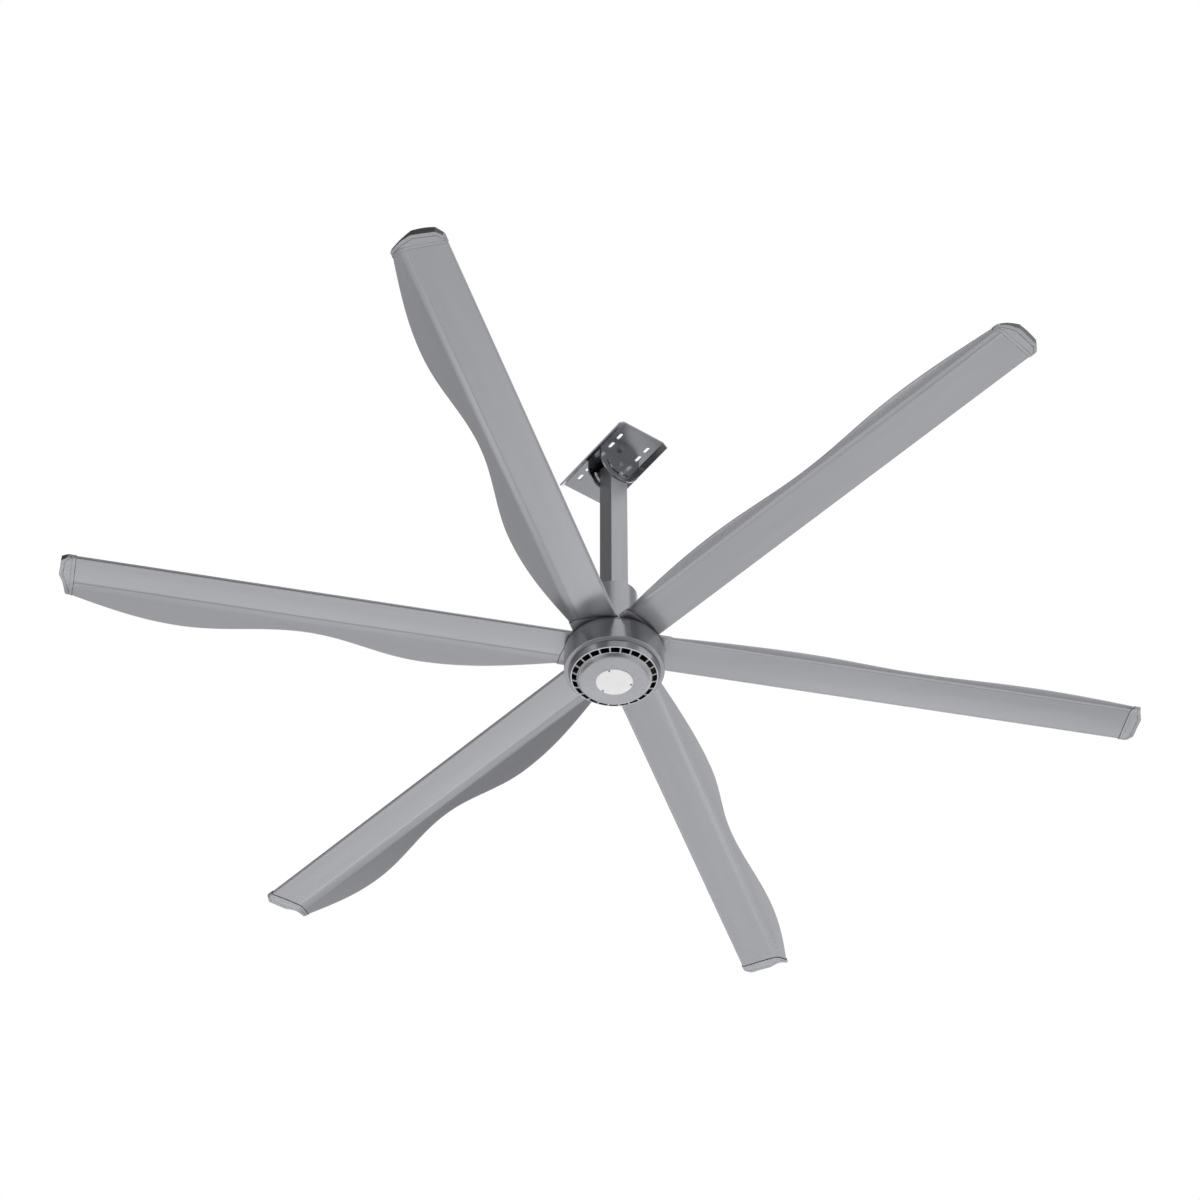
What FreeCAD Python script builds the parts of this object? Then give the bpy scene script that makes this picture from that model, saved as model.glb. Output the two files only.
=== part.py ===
import FreeCAD, Part
import math
import os
import re

import Sketcher
from FreeCAD import Rotation, Vector

# Six-blade ceiling fan of the high volume, low speed kind, in millimetres, +Z up.
# The origin is the centre of the ceiling plate's top face. +X runs along the plate's long side,
# which is also the tilt axis. "drop" is the height from that face down to the blades' leading edges,
# and every "height" of the motor and the blades is measured up or down from that blade level.

BLADES = 6
BLADE_SCREWS = 3
FLANGE_BOLTS = 4
COLLAR_SCREWS = 4
BADGE_SCREWS = 3
VENTS = 24
MAGNETS = 28
TEETH = 24

SIZES = {
    # ceiling plate: a sheet with eight slots, its two long edges bent down
    "plate_length": 366,
    "plate_flat_width": 170,
    "plate_thickness": 6,
    "lip_run": 20,
    "lip_drop": 17,
    "slot_length": 30,
    "slot_width": 13,
    "outer_slot_spacing": 240,
    "slot_web": 19.5,
    "slot_row_spacing": 115,
    # bracket ears: the tube swings between them, and the lock bolt runs in their curved slots
    "ear_inset": 3,
    "ear_side": 32,
    "ear_thickness": 6,
    "ear_play": 0.5,
    "pivot_depth": 38,
    "lock_radius": 51,
    "lock_slot_width": 13,
    "tilt_back": 77,
    "tilt_front": 33,
    # the two M10 bolts of the bracket
    "bolt_diameter": 10,
    "bolt_play": 0.5,
    "bolt_head_across": 16,
    "bolt_head_height": 6.4,
    "bolt_nut_height": 8.4,
    "bolt_end": 4,
    "washer_diameter": 18,
    "washer_thickness": 1.6,
    "sliding_gap": 0.3,
    # square downrod, its foot and the round collar that covers them
    "drop": 918,
    "tube_side": 70,
    "tube_wall": 4,
    "tube_corner": 3,
    "tube_over_pivot": 13,
    "foot_height": 60,
    "flange_thickness": 8,
    "cable_radius": 9,
    "collar_radius": 80,
    "collar_wall": 3,
    "collar_top": 250,
    "collar_bottom": 36,
    "collar_gap": 0.4,
    "collar_screw_radius": 2.5,
    "collar_screw_depth": 12,
    # bolts that join the foot to the axle's flange
    "flange_bolt_edge": 11,
    "flange_bolt_diameter": 10,
    "flange_bolt_across": 16,
    "flange_bolt_head": 6.4,
    # axle, which stands still, and what it carries
    "axle_radius": 17.5,
    "axle_flange_inset": 3.6,
    "axle_tail": 4,
    "axle_nut_across": 46,
    "axle_nut_height": 12,
    "stator_headroom": 20.2,
    "stator_legroom": 6.4,
    "stator_web": 10,
    "yoke_width": 18,
    "tooth_length": 34.2,
    "tooth_width": 14,
    "air_gap": 3.5,
    "coil_thickness": 6,
    "coil_inset": 4,
    "fit_gap": 0.1,
    # outer rotor drum
    "rotor_angle": 6.89,
    "drum_radius": 166.6,
    "drum_sink": 7.8,
    "drum_height": 85.6,
    "drum_wall": 5,
    "drum_lid": 8,
    "drum_chamfer": 1.5,
    "bearing_outer": 36,
    "bearing_lip": 6,
    "bearing_width": 17,
    "boss_wall": 10,
    "magnet_width": 24,
    "magnet_thickness": 5,
    "magnet_seat": 0.9,
    # lower bell with the vents, and the round cover under it
    "bell_lip_inset": 12.8,
    "bell_lip_height": 2.2,
    "bell_rim_inset": 22.8,
    "bell_bevel": 1,
    "bell_depth": 25.6,
    "bell_spigot": 11,
    "bell_plate": 6,
    "vent_edge": 2.8,
    "vent_width": 17,
    "vent_span": 12.4,
    "vent_turn": 3.8,
    "vent_drop": 7.5,
    "cover_gap": 1,
    "cover_slope": 14,
    "cover_bulge": 1.2,
    "cover_depth": 22.6,
    "cover_wall": 3,
    "badge_radius": 61,
    "badge_thickness": 1.5,
    "badge_screw_inset": 5,
    "post_radius": 5,
    "badge_screw_radius": 2,
    "badge_screw_head": 3.4,
    "badge_screw_length": 14,
    # hub plate, clamp plate and arms
    "hub_gap": 8,
    "clamp_thickness": 7,
    "clamp_hole": 46,
    "hub_screw_circle": 60,
    "hub_screw_radius": 4,
    "hub_screw_head": 6.5,
    "hub_screw_depth": 6,
    "arm_overhang": 50,
    "arm_width": 40,
    "arm_chord": 12,
    "arm_headroom": 3,
    "arm_seat": 0.2,
    "arm_bolt_edge": 19,
    "arm_bolt_spacing": 22,
    "arm_bolt_diameter": 10,
    "arm_bolt_across": 16,
    "arm_bolt_head": 6.4,
    "arm_bolt_depth": 12,
    # blade section: a hollow nose and body, and a flap that bends down behind a crease
    "blade_tip": 1782,
    "blade_wall": 2.5,
    "chord_front": 58,
    "nose_radius": 7,
    "nose_height": 2,
    "nose_top_angle": 63,
    "nose_under_angle": 80,
    "underside_rise": 1.5,
    "crease_chord": 79.3,
    "crease_height": 11,
    "crest_chord": 10,
    "blade_top": 27,
    "flap_slope": 32.4,
    "flap_thickness": 4,
    # the flap's free edge waves along the span: root, hump, trough, hump, tip
    "root_trailing": 99.4,
    "wave_setback": 4,
    "hump_trailing": 152.6,
    "first_hump": 627,
    "trough_trailing": 118,
    "trough_span": 1007,
    "second_hump": 1425,
    "tip_trailing": 111.6,
    # moulded cuffs at the blade roots and caps at the tips
    "cuff_clearance": 5.1,
    "cuff_length": 40,
    "cuff_hub_gap": 4,
    "root_setback": 8,
    "cuff_wall": 2.6,
    "cuff_slant": 6.8,
    "cap_length": 49,
    "cap_wall": 2.5,
    "cap_socket": 12,
    "cap_corner_front": 23,
    "cap_corner_back": 12.5,
    "cap_shoulder": 71,
    "cap_tail": 23,
    "cap_tail_corner": 10,
    "blade_screw_radius": 4,
    "blade_screw_head": 6.5,
    "blade_screw_height": 4,
    "blade_screw_depth": 8,
    "blade_screw_setback": 36,
    "blade_screw_pitch": 90,
    "crown_gap": 1,
    # how far a cutting shape runs past what it cuts
    "overrun": 1,
}

doc = FreeCAD.newDocument("ceiling_fan")
sheet = doc.addObject("Spreadsheet::Sheet", "dim")
for row, (alias, size) in enumerate(SIZES.items(), start=1):
    sheet.set(f"A{row}", alias)
    sheet.set(f"B{row}", str(size))
    sheet.setAlias(f"B{row}", alias)
doc.recompute()

nodes = []


# Formulas: texts that name the sheet's sizes.

def formula(text):
    """Write each size's name as a reference to its cell."""
    return re.sub(r"[a-z_]+", lambda word: f"dim.{word[0]}" if word[0] in SIZES else word[0], text)


def number(text):
    """The value of a formula."""
    return float(sheet.evalExpression(formula(text)))


def bind(item, **formulas):
    """Bind properties to formulas; in a name, two underscores stand for a dot."""
    for name, text in formulas.items():
        item.setExpression(name.replace("__", "."), formula(text))
    return item


PIVOT = "(-plate_thickness - pivot_depth)"
LOCK = f"({PIVOT} - lock_radius)"
INNER_SLOT_SPACING = "(outer_slot_spacing - 2 * (slot_length + slot_web))"
EAR_RADIUS = "(plate_flat_width / 2 - ear_inset)"
EAR_BEND = "(-plate_thickness - ear_side)"
EAR_INNER = "(tube_side / 2 + ear_play)"
EAR_OUTER = f"({EAR_INNER} + ear_thickness)"
BOLT_HOLE = "(bolt_diameter / 2 + bolt_play)"
TUBE_TOP = f"({PIVOT} + tube_over_pivot)"
FOOT_TOP = "(foot_height - drop)"
FOOT_BOTTOM = f"({FOOT_TOP} - flange_thickness)"
FLANGE_BOTTOM = f"({FOOT_BOTTOM} - flange_thickness)"
FLANGE_HOLE = "(flange_bolt_diameter / 2 + fit_gap)"
COLLAR_INNER = "(collar_radius - collar_wall)"
COLLAR_SCREW_HEIGHT = f"({FOOT_TOP} - flange_thickness / 2)"
COLLAR_TOP = "(collar_top - drop)"
COLLAR_BOTTOM = "(collar_bottom - drop)"
FOOT_RADIUS = f"({COLLAR_INNER} - collar_gap)"
AXLE_FLANGE = f"({FOOT_RADIUS} - axle_flange_inset)"
FLANGE_BOLT_CIRCLE = f"({AXLE_FLANGE} - flange_bolt_edge)"

DRUM_TOP = "(-drop - drum_sink)"
LID_BOTTOM = f"({DRUM_TOP} - drum_lid)"
DRUM_BOTTOM = f"({DRUM_TOP} - drum_height)"
DRUM_INNER = "(drum_radius - drum_wall)"
BEARING_SEAT = "(bearing_outer + fit_gap)"
SHAFT_HOLE = "(bearing_outer - bearing_lip)"
BELL_LIP = "(drum_radius - bell_lip_inset)"
BELL_RIM = "(drum_radius - bell_rim_inset)"
VENT_OUTER = f"({BELL_RIM} - vent_edge)"
VENT_INNER = f"({VENT_OUTER} - vent_width)"
VENT_TURN = "(rotor_angle + vent_turn)"
COVER_RADIUS = f"({VENT_INNER} - cover_gap)"
COVER_FACE = f"({COVER_RADIUS} - cover_slope)"
BADGE_SCREW_CIRCLE = "(badge_radius - badge_screw_inset)"
BADGE_SCREW_TURN = f"rotor_angle + 180 / {BADGE_SCREWS}"
BELL_BOTTOM = f"({DRUM_BOTTOM} - bell_depth)"
BELL_FLOOR = f"({BELL_BOTTOM} + bell_plate)"
CONE_BOTTOM = f"({BELL_BOTTOM} - vent_drop)"
COVER_BOTTOM = f"({BELL_BOTTOM} - cover_depth)"
BADGE_BOTTOM = f"({COVER_BOTTOM} - badge_thickness)"
UPPER_BEARING = f"({LID_BOTTOM} - fit_gap - bearing_width)"
LOWER_BEARING = f"({BELL_FLOOR} + fit_gap)"
AXLE_NUT_BOTTOM = f"({LOWER_BEARING} - axle_nut_height - fit_gap)"
MAGNET_OUTER = f"({DRUM_INNER} - magnet_seat)"
MAGNET_INNER = f"({MAGNET_OUTER} - magnet_thickness)"
STATOR_TOP = f"({LID_BOTTOM} - stator_headroom)"
STATOR_BOTTOM = f"({DRUM_BOTTOM} + bell_spigot + stator_legroom)"
STATOR_STACK = f"({STATOR_TOP} - {STATOR_BOTTOM})"
TOOTH_TIP = f"({MAGNET_INNER} - air_gap)"
YOKE_OUTER = f"({TOOTH_TIP} - tooth_length)"
YOKE_INNER = f"({YOKE_OUTER} - yoke_width)"

# the blade's hollow leaves this room for the arm, measured at the arm's rear and front edges
NOSE_CENTRE = "(chord_front - nose_radius)"
NOSE_UNDER_Y = f"({NOSE_CENTRE} - nose_radius * cos(nose_under_angle))"
NOSE_UNDER_Z = "(nose_height - nose_radius * sin(nose_under_angle))"
ARM_REAR = "(arm_chord + arm_width / 2)"
UNDERSIDE_SLOPE = f"((crease_height - {NOSE_UNDER_Z}) / (crease_chord + {NOSE_UNDER_Y}))"
ARM_FLOOR = (f"({NOSE_UNDER_Z} + {UNDERSIDE_SLOPE} * ({ARM_REAR} + {NOSE_UNDER_Y})"
             " + underside_rise + blade_wall + arm_seat)")
ARM_BOTTOM = f"({ARM_FLOOR} - drop)"
ARM_TOP = "(blade_top - blade_wall - arm_headroom - drop)"
CLAMP_TOP = f"({ARM_TOP} + clamp_thickness)"
BLADE_END = "(blade_tip + cap_socket)"

# a cuff starts along a line that clears the front of the cuff behind it
BLADE_TURN = f"360 / {BLADES}"
CUFF_MITRE = f"(chord_front + cuff_wall + cuff_clearance * sin({BLADE_TURN}))"
CUFF_START = f"(({CUFF_MITRE} + (root_trailing + cuff_wall) * cos({BLADE_TURN})) / sin({BLADE_TURN}))"
CUFF_END = f"({CUFF_START} + cuff_length)"
BLADE_ROOT = f"({CUFF_START} + root_setback)"
WAVE_START = f"({CUFF_END} + wave_setback)"
HUB_RADIUS = f"({CUFF_START} - hub_gap)"
ARM_BOLT_CIRCLE = f"({HUB_RADIUS} - arm_bolt_edge)"
ARM_START = f"({ARM_BOLT_CIRCLE} - arm_bolt_edge)"
BLADE_SCREW_SPANS = [f"{CUFF_END} + blade_screw_setback + {step} * blade_screw_pitch"
                     for step in range(BLADE_SCREWS)]
ARM_END = f"({BLADE_SCREW_SPANS[-1]} + arm_overhang)"
BETWEEN_BLADES = f"rotor_angle + 180 / {BLADES}"
COLLAR_SCREW_TURN = f"180 / {COLLAR_SCREWS}"


# Building blocks.

def add(kind):
    return doc.addObject(kind, kind.split("::")[1])


def node(label, item):
    """Name a finished sub-part and list it for writing."""
    item.Label = label
    nodes.append(item)
    return item


def lie_along_x(item):
    item.Placement.Rotation = Rotation(Vector(0, 1, 0), 90)


def place(item, x="0", y="0", z="0"):
    return bind(item, Placement__Base__x=x, Placement__Base__y=y, Placement__Base__z=z)


def cylinder(radius, height, x="0", y="0", z="0", along_x=False):
    item = bind(add("Part::Cylinder"), Radius=radius, Height=height)
    if along_x:
        lie_along_x(item)
    return place(item, x, y, z)


def hexagon(across, height, x="0", y="0", z="0", along_x=False):
    item = bind(add("Part::Prism"), Circumradius=f"{across} / sqrt(3)", Height=height)
    item.Polygon = 6
    if along_x:
        lie_along_x(item)
    return place(item, x, y, z)


def box(length, width, height, x, z, y="0"):
    """A box from x outwards and from z upwards, centred on y."""
    item = bind(add("Part::Box"), Length=length, Width=width, Height=height)
    return place(item, x, f"{y} - ({width}) / 2", z)


def group(items):
    item = add("Part::Compound")
    item.Links = items
    return item


def cut(base, *tools):
    item = add("Part::Cut")
    item.Base = base
    item.Tool = tools[0] if len(tools) == 1 else group(list(tools))
    return item


def common(first, second):
    item = add("Part::Common")
    item.Base = first
    item.Tool = second
    return item


def fuse(*items):
    item = add("Part::MultiFuse")
    item.Shapes = list(items)
    item.Refine = True
    return item


def turned(source, angle):
    """A copy of a sub-part, turned about the fan's axis."""
    item = group([source])
    item.Placement.Rotation = Rotation(Vector(0, 0, 1), 1)
    return bind(item, Placement__Rotation__Angle=angle)


def ring(source, count, first="0"):
    """Copies of a sub-part, evenly spaced about the fan's axis."""
    return group([turned(source, f"{first} + {turn} * 360 / {count}") for turn in range(count)])


def on_blades(source):
    """One copy for each blade, in the rotor's position of rest."""
    return [turned(source, f"rotor_angle + {turn} * 360 / {BLADES}") for turn in range(BLADES)]


# Sketches and the features made from them.

def origin_feature(body, role):
    return next(item for item in body.Origin.OriginFeatures if item.Role == role)


def body_sketch(body, plane):
    sketch = body.newObject("Sketcher::SketchObject", "Sketch")
    sketch.AttachmentSupport = [(origin_feature(body, plane), "")]
    sketch.MapMode = "FlatFace"
    return sketch


def fix_point(sketch, corner):
    """A point of a sketch, bound to the sheet."""
    x, y = corner
    point = sketch.addGeometry(Part.Point(Vector(number(x), number(y), 0)), True)
    for kind, text in (("DistanceX", x), ("DistanceY", y)):
        index = sketch.addConstraint(Sketcher.Constraint(kind, point, 1, number(text)))
        sketch.setExpression(f"Constraints[{index}]", formula(text))
    return point


def outline(sketch, corners, arcs=None):
    """A closed outline. arcs gives, by the number of a side, a point that the side bends through."""
    arcs = arcs or {}
    points = [fix_point(sketch, corner) for corner in corners]
    spots = [Vector(number(x), number(y), 0) for x, y in corners]
    for side, start in enumerate(spots):
        after = (side + 1) % len(spots)
        ends = (points[side], points[after])
        if side in arcs:
            through = Vector(*(number(text) for text in arcs[side]), 0)
            arc = Part.Arc(start, through, spots[after])
            curve = sketch.addGeometry(arc)
            if sketch.getPoint(curve, 1).distanceToPoint(start) > 0.001:
                ends = ends[::-1]
            passing = fix_point(sketch, arcs[side])
            sketch.addConstraint(Sketcher.Constraint("PointOnObject", passing, 1, curve))
        else:
            curve = sketch.addGeometry(Part.LineSegment(start, spots[after]))
        for end, point in enumerate(ends, start=1):
            sketch.addConstraint(Sketcher.Constraint("Coincident", curve, end, point, 1))


def circle(sketch, x, y, radius):
    centre = fix_point(sketch, (x, y))
    spot = sketch.Geometry[centre]
    curve = sketch.addGeometry(Part.Circle(Vector(spot.X, spot.Y, 0), Vector(0, 0, 1), number(radius)))
    sketch.addConstraint(Sketcher.Constraint("Coincident", curve, 3, centre, 1))
    index = sketch.addConstraint(Sketcher.Constraint("Radius", curve, number(radius)))
    sketch.setExpression(f"Constraints[{index}]", formula(radius))


def new_body():
    return doc.addObject("PartDesign::Body", "Body")


def pad(body, sketch, length, both_ways=False):
    item = body.newObject("PartDesign::Pad", "Pad")
    item.Profile = sketch
    item.Midplane = both_ways
    return bind(item, Length=length)


def pocket(body, sketch):
    """A cut right through, both ways from the sketch."""
    item = body.newObject("PartDesign::Pocket", "Pocket")
    item.Profile = sketch
    item.Type = "ThroughAll"
    item.Midplane = True
    return item


def revolution(corners, arcs=None):
    """A body turned about the fan's axis; corners are pairs of radius and height."""
    body = new_body()
    sketch = body_sketch(body, "XZ_Plane")
    outline(sketch, corners, arcs)
    item = body.newObject("PartDesign::Revolution", "Revolution")
    item.Profile = sketch
    item.ReferenceAxis = (sketch, ["V_Axis"])
    item.Angle = 360
    return body


def polar_pattern(body, feature, count):
    item = body.newObject("PartDesign::PolarPattern", "PolarPattern")
    item.Originals = [feature]
    item.Axis = (origin_feature(body, "Z_Axis"), [""])
    item.Angle = 360
    item.Occurrences = count
    body.Tip = item


# Ceiling bracket.

def ceiling_plate():
    lip = "sqrt(lip_run^2 + lip_drop^2)"
    half = "plate_flat_width / 2"
    under = f"({half} - plate_thickness * ({lip} - lip_run) / lip_drop)"
    tip = f"({half} + lip_run - plate_thickness * lip_drop / {lip})"
    tip_height = f"-lip_drop - plate_thickness * lip_run / {lip}"
    right = [(half, "0"), (f"{half} + lip_run", "-lip_drop"), (tip, tip_height), (under, "-plate_thickness")]
    left = [(f"-({y})", z) for y, z in reversed(right)]
    body = new_body()
    section = body_sketch(body, "YZ_Plane")
    outline(section, right + left)
    pad(body, section, "plate_length", both_ways=True)
    slots = body_sketch(body, "XY_Plane")
    for spacing in ("outer_slot_spacing", INNER_SLOT_SPACING):
        for end in (-1, 1):
            for row in (-1, 1):
                slot_outline(slots, f"{end} * {spacing} / 2", f"{row} * slot_row_spacing / 2")
    pocket(body, slots)
    return body


def slot_outline(sketch, x, y):
    reach = "(slot_length - slot_width) / 2"
    corners = [(f"{x} + {way} * {reach}", f"{y} + {side} * slot_width / 2")
               for way, side in ((-1, -1), (1, -1), (1, 1), (-1, 1))]
    outline(sketch, corners, {1: (f"{x} + slot_length / 2", y), 3: (f"{x} - slot_length / 2", y)})


def ear(side):
    """One ear, with its pivot hole and the curved slot for the lock bolt."""
    body = new_body()
    plate = body_sketch(body, "YZ_Plane")
    top = "-plate_thickness"
    left, right = f"-{EAR_RADIUS}", EAR_RADIUS
    outline(plate, [(left, top), (left, EAR_BEND), (right, EAR_BEND), (right, top)],
            {1: ("0", f"{EAR_BEND} - {EAR_RADIUS}")})
    circle(plate, "0", PIVOT, BOLT_HOLE)

    def on_arc(radius, angle):
        return (f"({radius}) * sin({angle})", f"{PIVOT} - ({radius}) * cos({angle})")

    outer, inner = "lock_radius + lock_slot_width / 2", "lock_radius - lock_slot_width / 2"
    back, front = "-tilt_back", "tilt_front"
    middle = f"({back} + {front}) / 2"
    round_end = "lock_slot_width / 2 / lock_radius * 180 / pi"
    outline(plate, [on_arc(outer, back), on_arc(outer, front), on_arc(inner, front), on_arc(inner, back)],
            {0: on_arc(outer, middle), 1: on_arc("lock_radius", f"{front} + {round_end}"),
             2: on_arc(inner, middle), 3: on_arc("lock_radius", f"{back} - {round_end}")})
    pad(body, plate, "ear_thickness")
    start = EAR_INNER if side > 0 else f"-{EAR_OUTER}"
    return bind(body, Placement__Base__x=start)


def cross_bolt(name, z, gap):
    """A hex bolt across the bracket with its washers and nut; gap is left under the washers."""
    outer = f"({EAR_OUTER} + {gap})"
    seat = f"({outer} + washer_thickness)"
    head = hexagon("bolt_head_across", "bolt_head_height", x=seat, z=z, along_x=True)
    nut_end = f"(-{seat} - bolt_nut_height)"
    shank = cylinder("bolt_diameter / 2", f"{seat} - {nut_end} + bolt_end", x=f"{nut_end} - bolt_end", z=z,
                     along_x=True)
    node(f"{name}_bolt", fuse(head, shank))
    hole = cylinder("bolt_diameter / 2 + fit_gap", f"2 * {seat}", x=f"-{seat}", z=z, along_x=True)
    washers = [cut(cylinder("washer_diameter / 2", "washer_thickness", x=x, z=z, along_x=True), hole)
               for x in (outer, f"-{seat}")]
    node(f"{name}_washers", group(washers))
    nut = hexagon("bolt_head_across", "bolt_nut_height", x=nut_end, z=z, along_x=True)
    nut_hole = cylinder("bolt_diameter / 2 + fit_gap", "bolt_nut_height", x=nut_end, z=z, along_x=True)
    node(f"{name}_nut", cut(nut, nut_hole))


def bracket():
    node("ceiling_plate", ceiling_plate())
    node("bracket_ear_right", ear(1))
    node("bracket_ear_left", ear(-1))
    cross_bolt("pivot", PIVOT, "0")


# Downrod, collar and axle, which tilt together and don't turn.

def downrod():
    def square(sketch, side, corner):
        half, start = f"({side}) / 2", f"(({side}) / 2 - {corner})"
        bend = f"(({side}) / 2 - {corner} * (1 - sqrt(0.5)))"
        turns = ((1, 1), (-1, 1), (-1, -1), (1, -1))
        corners, arcs = [], {}
        for quarter, (x, y) in enumerate(turns):
            ends = [(f"{x} * {half}", f"{y} * {start}"), (f"{x} * {start}", f"{y} * {half}")]
            corners += ends if x * y > 0 else ends[::-1]
            arcs[2 * quarter] = (f"{x} * {bend}", f"{y} * {bend}")
        outline(sketch, corners, arcs)

    body = new_body()
    section = body_sketch(body, "XY_Plane")
    section.setExpression("AttachmentOffset.Base.z", formula(FOOT_TOP))
    square(section, "tube_side", "tube_corner")
    square(section, "tube_side - 2 * tube_wall", "tube_corner / 2")
    pad(body, section, f"{TUBE_TOP} - {FOOT_TOP}")
    holes = body_sketch(body, "YZ_Plane")
    circle(holes, "0", PIVOT, BOLT_HOLE)
    circle(holes, "0", LOCK, "bolt_diameter / 2 + fit_gap")
    pocket(body, holes)
    return body


def flange_holes(radius):
    bottom = FLANGE_BOTTOM
    return ring(cylinder(radius, "2 * flange_thickness", x=FLANGE_BOLT_CIRCLE, z=bottom), FLANGE_BOLTS)


def downrod_foot():
    disc = cylinder(FOOT_RADIUS, "flange_thickness", z=FOOT_BOTTOM)
    bore = cylinder("cable_radius", "flange_thickness", z=FOOT_BOTTOM)
    screw = cylinder("collar_screw_radius + fit_gap", "collar_screw_depth",
                     x=f"{FOOT_RADIUS} - collar_screw_depth", z=COLLAR_SCREW_HEIGHT, along_x=True)
    return cut(disc, bore, flange_holes(FLANGE_HOLE), ring(screw, COLLAR_SCREWS, COLLAR_SCREW_TURN))


def motor_collar():
    height = f"{COLLAR_TOP} - {COLLAR_BOTTOM}"
    can = cylinder("collar_radius", height, z=COLLAR_BOTTOM)
    room = cylinder(COLLAR_INNER, f"{height} - collar_wall", z=COLLAR_BOTTOM)
    opening = "tube_side + 2 * collar_gap"
    square = box(opening, opening, "2 * collar_wall", f"-({opening}) / 2", f"{COLLAR_TOP} - 2 * collar_wall")
    screw = cylinder("collar_screw_radius + fit_gap", "3 * collar_wall", x=f"{COLLAR_INNER} - collar_wall",
                     z=COLLAR_SCREW_HEIGHT, along_x=True)
    return cut(can, room, square, ring(screw, COLLAR_SCREWS, COLLAR_SCREW_TURN))


def collar_screws():
    z = COLLAR_SCREW_HEIGHT
    start = f"({FOOT_RADIUS} - collar_screw_depth)"
    shank = cylinder("collar_screw_radius", f"collar_radius - {start}", x=start, z=z, along_x=True)
    head = cylinder("2 * collar_screw_radius", "collar_screw_radius", x="collar_radius + fit_gap", z=z,
                    along_x=True)
    neck = cylinder("collar_screw_radius", "2 * fit_gap", x="collar_radius - fit_gap / 2", z=z, along_x=True)
    return ring(fuse(shank, neck, head), COLLAR_SCREWS, COLLAR_SCREW_TURN)


def flange_bolts():
    x = FLANGE_BOLT_CIRCLE
    head = hexagon("flange_bolt_across", "flange_bolt_head", x=x, z=FOOT_TOP)
    length = "2 * flange_thickness + flange_bolt_head"
    shank = cylinder("flange_bolt_diameter / 2", length, x=x, z=f"{FLANGE_BOTTOM} - flange_bolt_head")
    return ring(fuse(head, shank), FLANGE_BOLTS)


def flange_nuts():
    x, z = FLANGE_BOLT_CIRCLE, f"{FLANGE_BOTTOM} - flange_bolt_head"
    nut = hexagon("flange_bolt_across", "flange_bolt_head", x=x, z=z)
    return ring(cut(nut, cylinder(FLANGE_HOLE, "flange_bolt_head", x=x, z=z)), FLANGE_BOLTS)


def axle():
    end = f"({AXLE_NUT_BOTTOM} - axle_tail)"
    body = revolution([("cable_radius", FOOT_BOTTOM), (AXLE_FLANGE, FOOT_BOTTOM),
                       (AXLE_FLANGE, FLANGE_BOTTOM), ("axle_radius", FLANGE_BOTTOM),
                       ("axle_radius", end), ("cable_radius", end)])
    return cut(body, flange_holes(FLANGE_HOLE))


def axle_nut():
    z = AXLE_NUT_BOTTOM
    nut = hexagon("axle_nut_across", "axle_nut_height", z=z)
    return cut(nut, cylinder("axle_radius + fit_gap", "axle_nut_height", z=z))


def stator_core():
    yoke = cut(cylinder(YOKE_OUTER, STATOR_STACK, z=STATOR_BOTTOM),
               cylinder(YOKE_INNER, STATOR_STACK, z=STATOR_BOTTOM))
    web_bottom = f"{STATOR_BOTTOM} + ({STATOR_STACK} - stator_web) / 2"
    web = cut(cylinder(YOKE_INNER, "stator_web", z=web_bottom),
              cylinder("axle_radius + fit_gap", STATOR_STACK, z=STATOR_BOTTOM))
    root = f"({YOKE_OUTER} - coil_inset)"
    tooth = box(f"{TOOTH_TIP} - {root}", "tooth_width", STATOR_STACK, root, STATOR_BOTTOM)
    return fuse(yoke, web, *[turned(tooth, f"{turn} * 360 / {TEETH}") for turn in range(TEETH)])


def stator_windings():
    """One coil round each tooth."""
    start = f"({YOKE_OUTER} + coil_inset)"
    length = f"{TOOTH_TIP} - coil_inset - {start}"
    inner = "(tooth_width + 2 * fit_gap)"
    outer = f"({inner} + 2 * coil_thickness)"
    rise = "(coil_thickness + fit_gap)"
    block = box(length, outer, f"{STATOR_STACK} + 2 * {rise}", start, f"{STATOR_BOTTOM} - {rise}")
    hole = box(length, inner, f"{STATOR_STACK} + 2 * fit_gap", start, f"{STATOR_BOTTOM} - fit_gap")
    return ring(cut(block, hole), TEETH)


def hanger():
    node("downrod", downrod())
    cross_bolt("lock", LOCK, "sliding_gap")
    node("downrod_foot", downrod_foot())
    node("motor_collar", motor_collar())
    node("collar_screws", collar_screws())
    node("flange_bolts", flange_bolts())
    node("flange_nuts", flange_nuts())
    node("axle", axle())
    node("axle_nut", axle_nut())
    node("stator_core", stator_core())
    node("stator_windings", stator_windings())


# Motor drum, which turns on the axle, with its covers.

def motor_drum():
    boss = "(bearing_outer + boss_wall)"
    boss_end = f"({UPPER_BEARING} - fit_gap)"
    body = revolution([(SHAFT_HOLE, DRUM_TOP), ("drum_radius - drum_chamfer", DRUM_TOP),
                       ("drum_radius", f"{DRUM_TOP} - drum_chamfer"), ("drum_radius", DRUM_BOTTOM),
                       (DRUM_INNER, DRUM_BOTTOM), (DRUM_INNER, LID_BOTTOM), (boss, LID_BOTTOM),
                       (boss, boss_end), (BEARING_SEAT, boss_end), (BEARING_SEAT, LID_BOTTOM),
                       (SHAFT_HOLE, LID_BOTTOM)])
    screws = ring(hub_screw("fit_gap"), BLADES, BETWEEN_BLADES)
    return cut(body, screws)


def bearing(bottom):
    bore, top = "axle_radius + sliding_gap", f"{bottom} + bearing_width"
    return revolution([(bore, bottom), ("bearing_outer", bottom), ("bearing_outer", top), (bore, top)])


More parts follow.
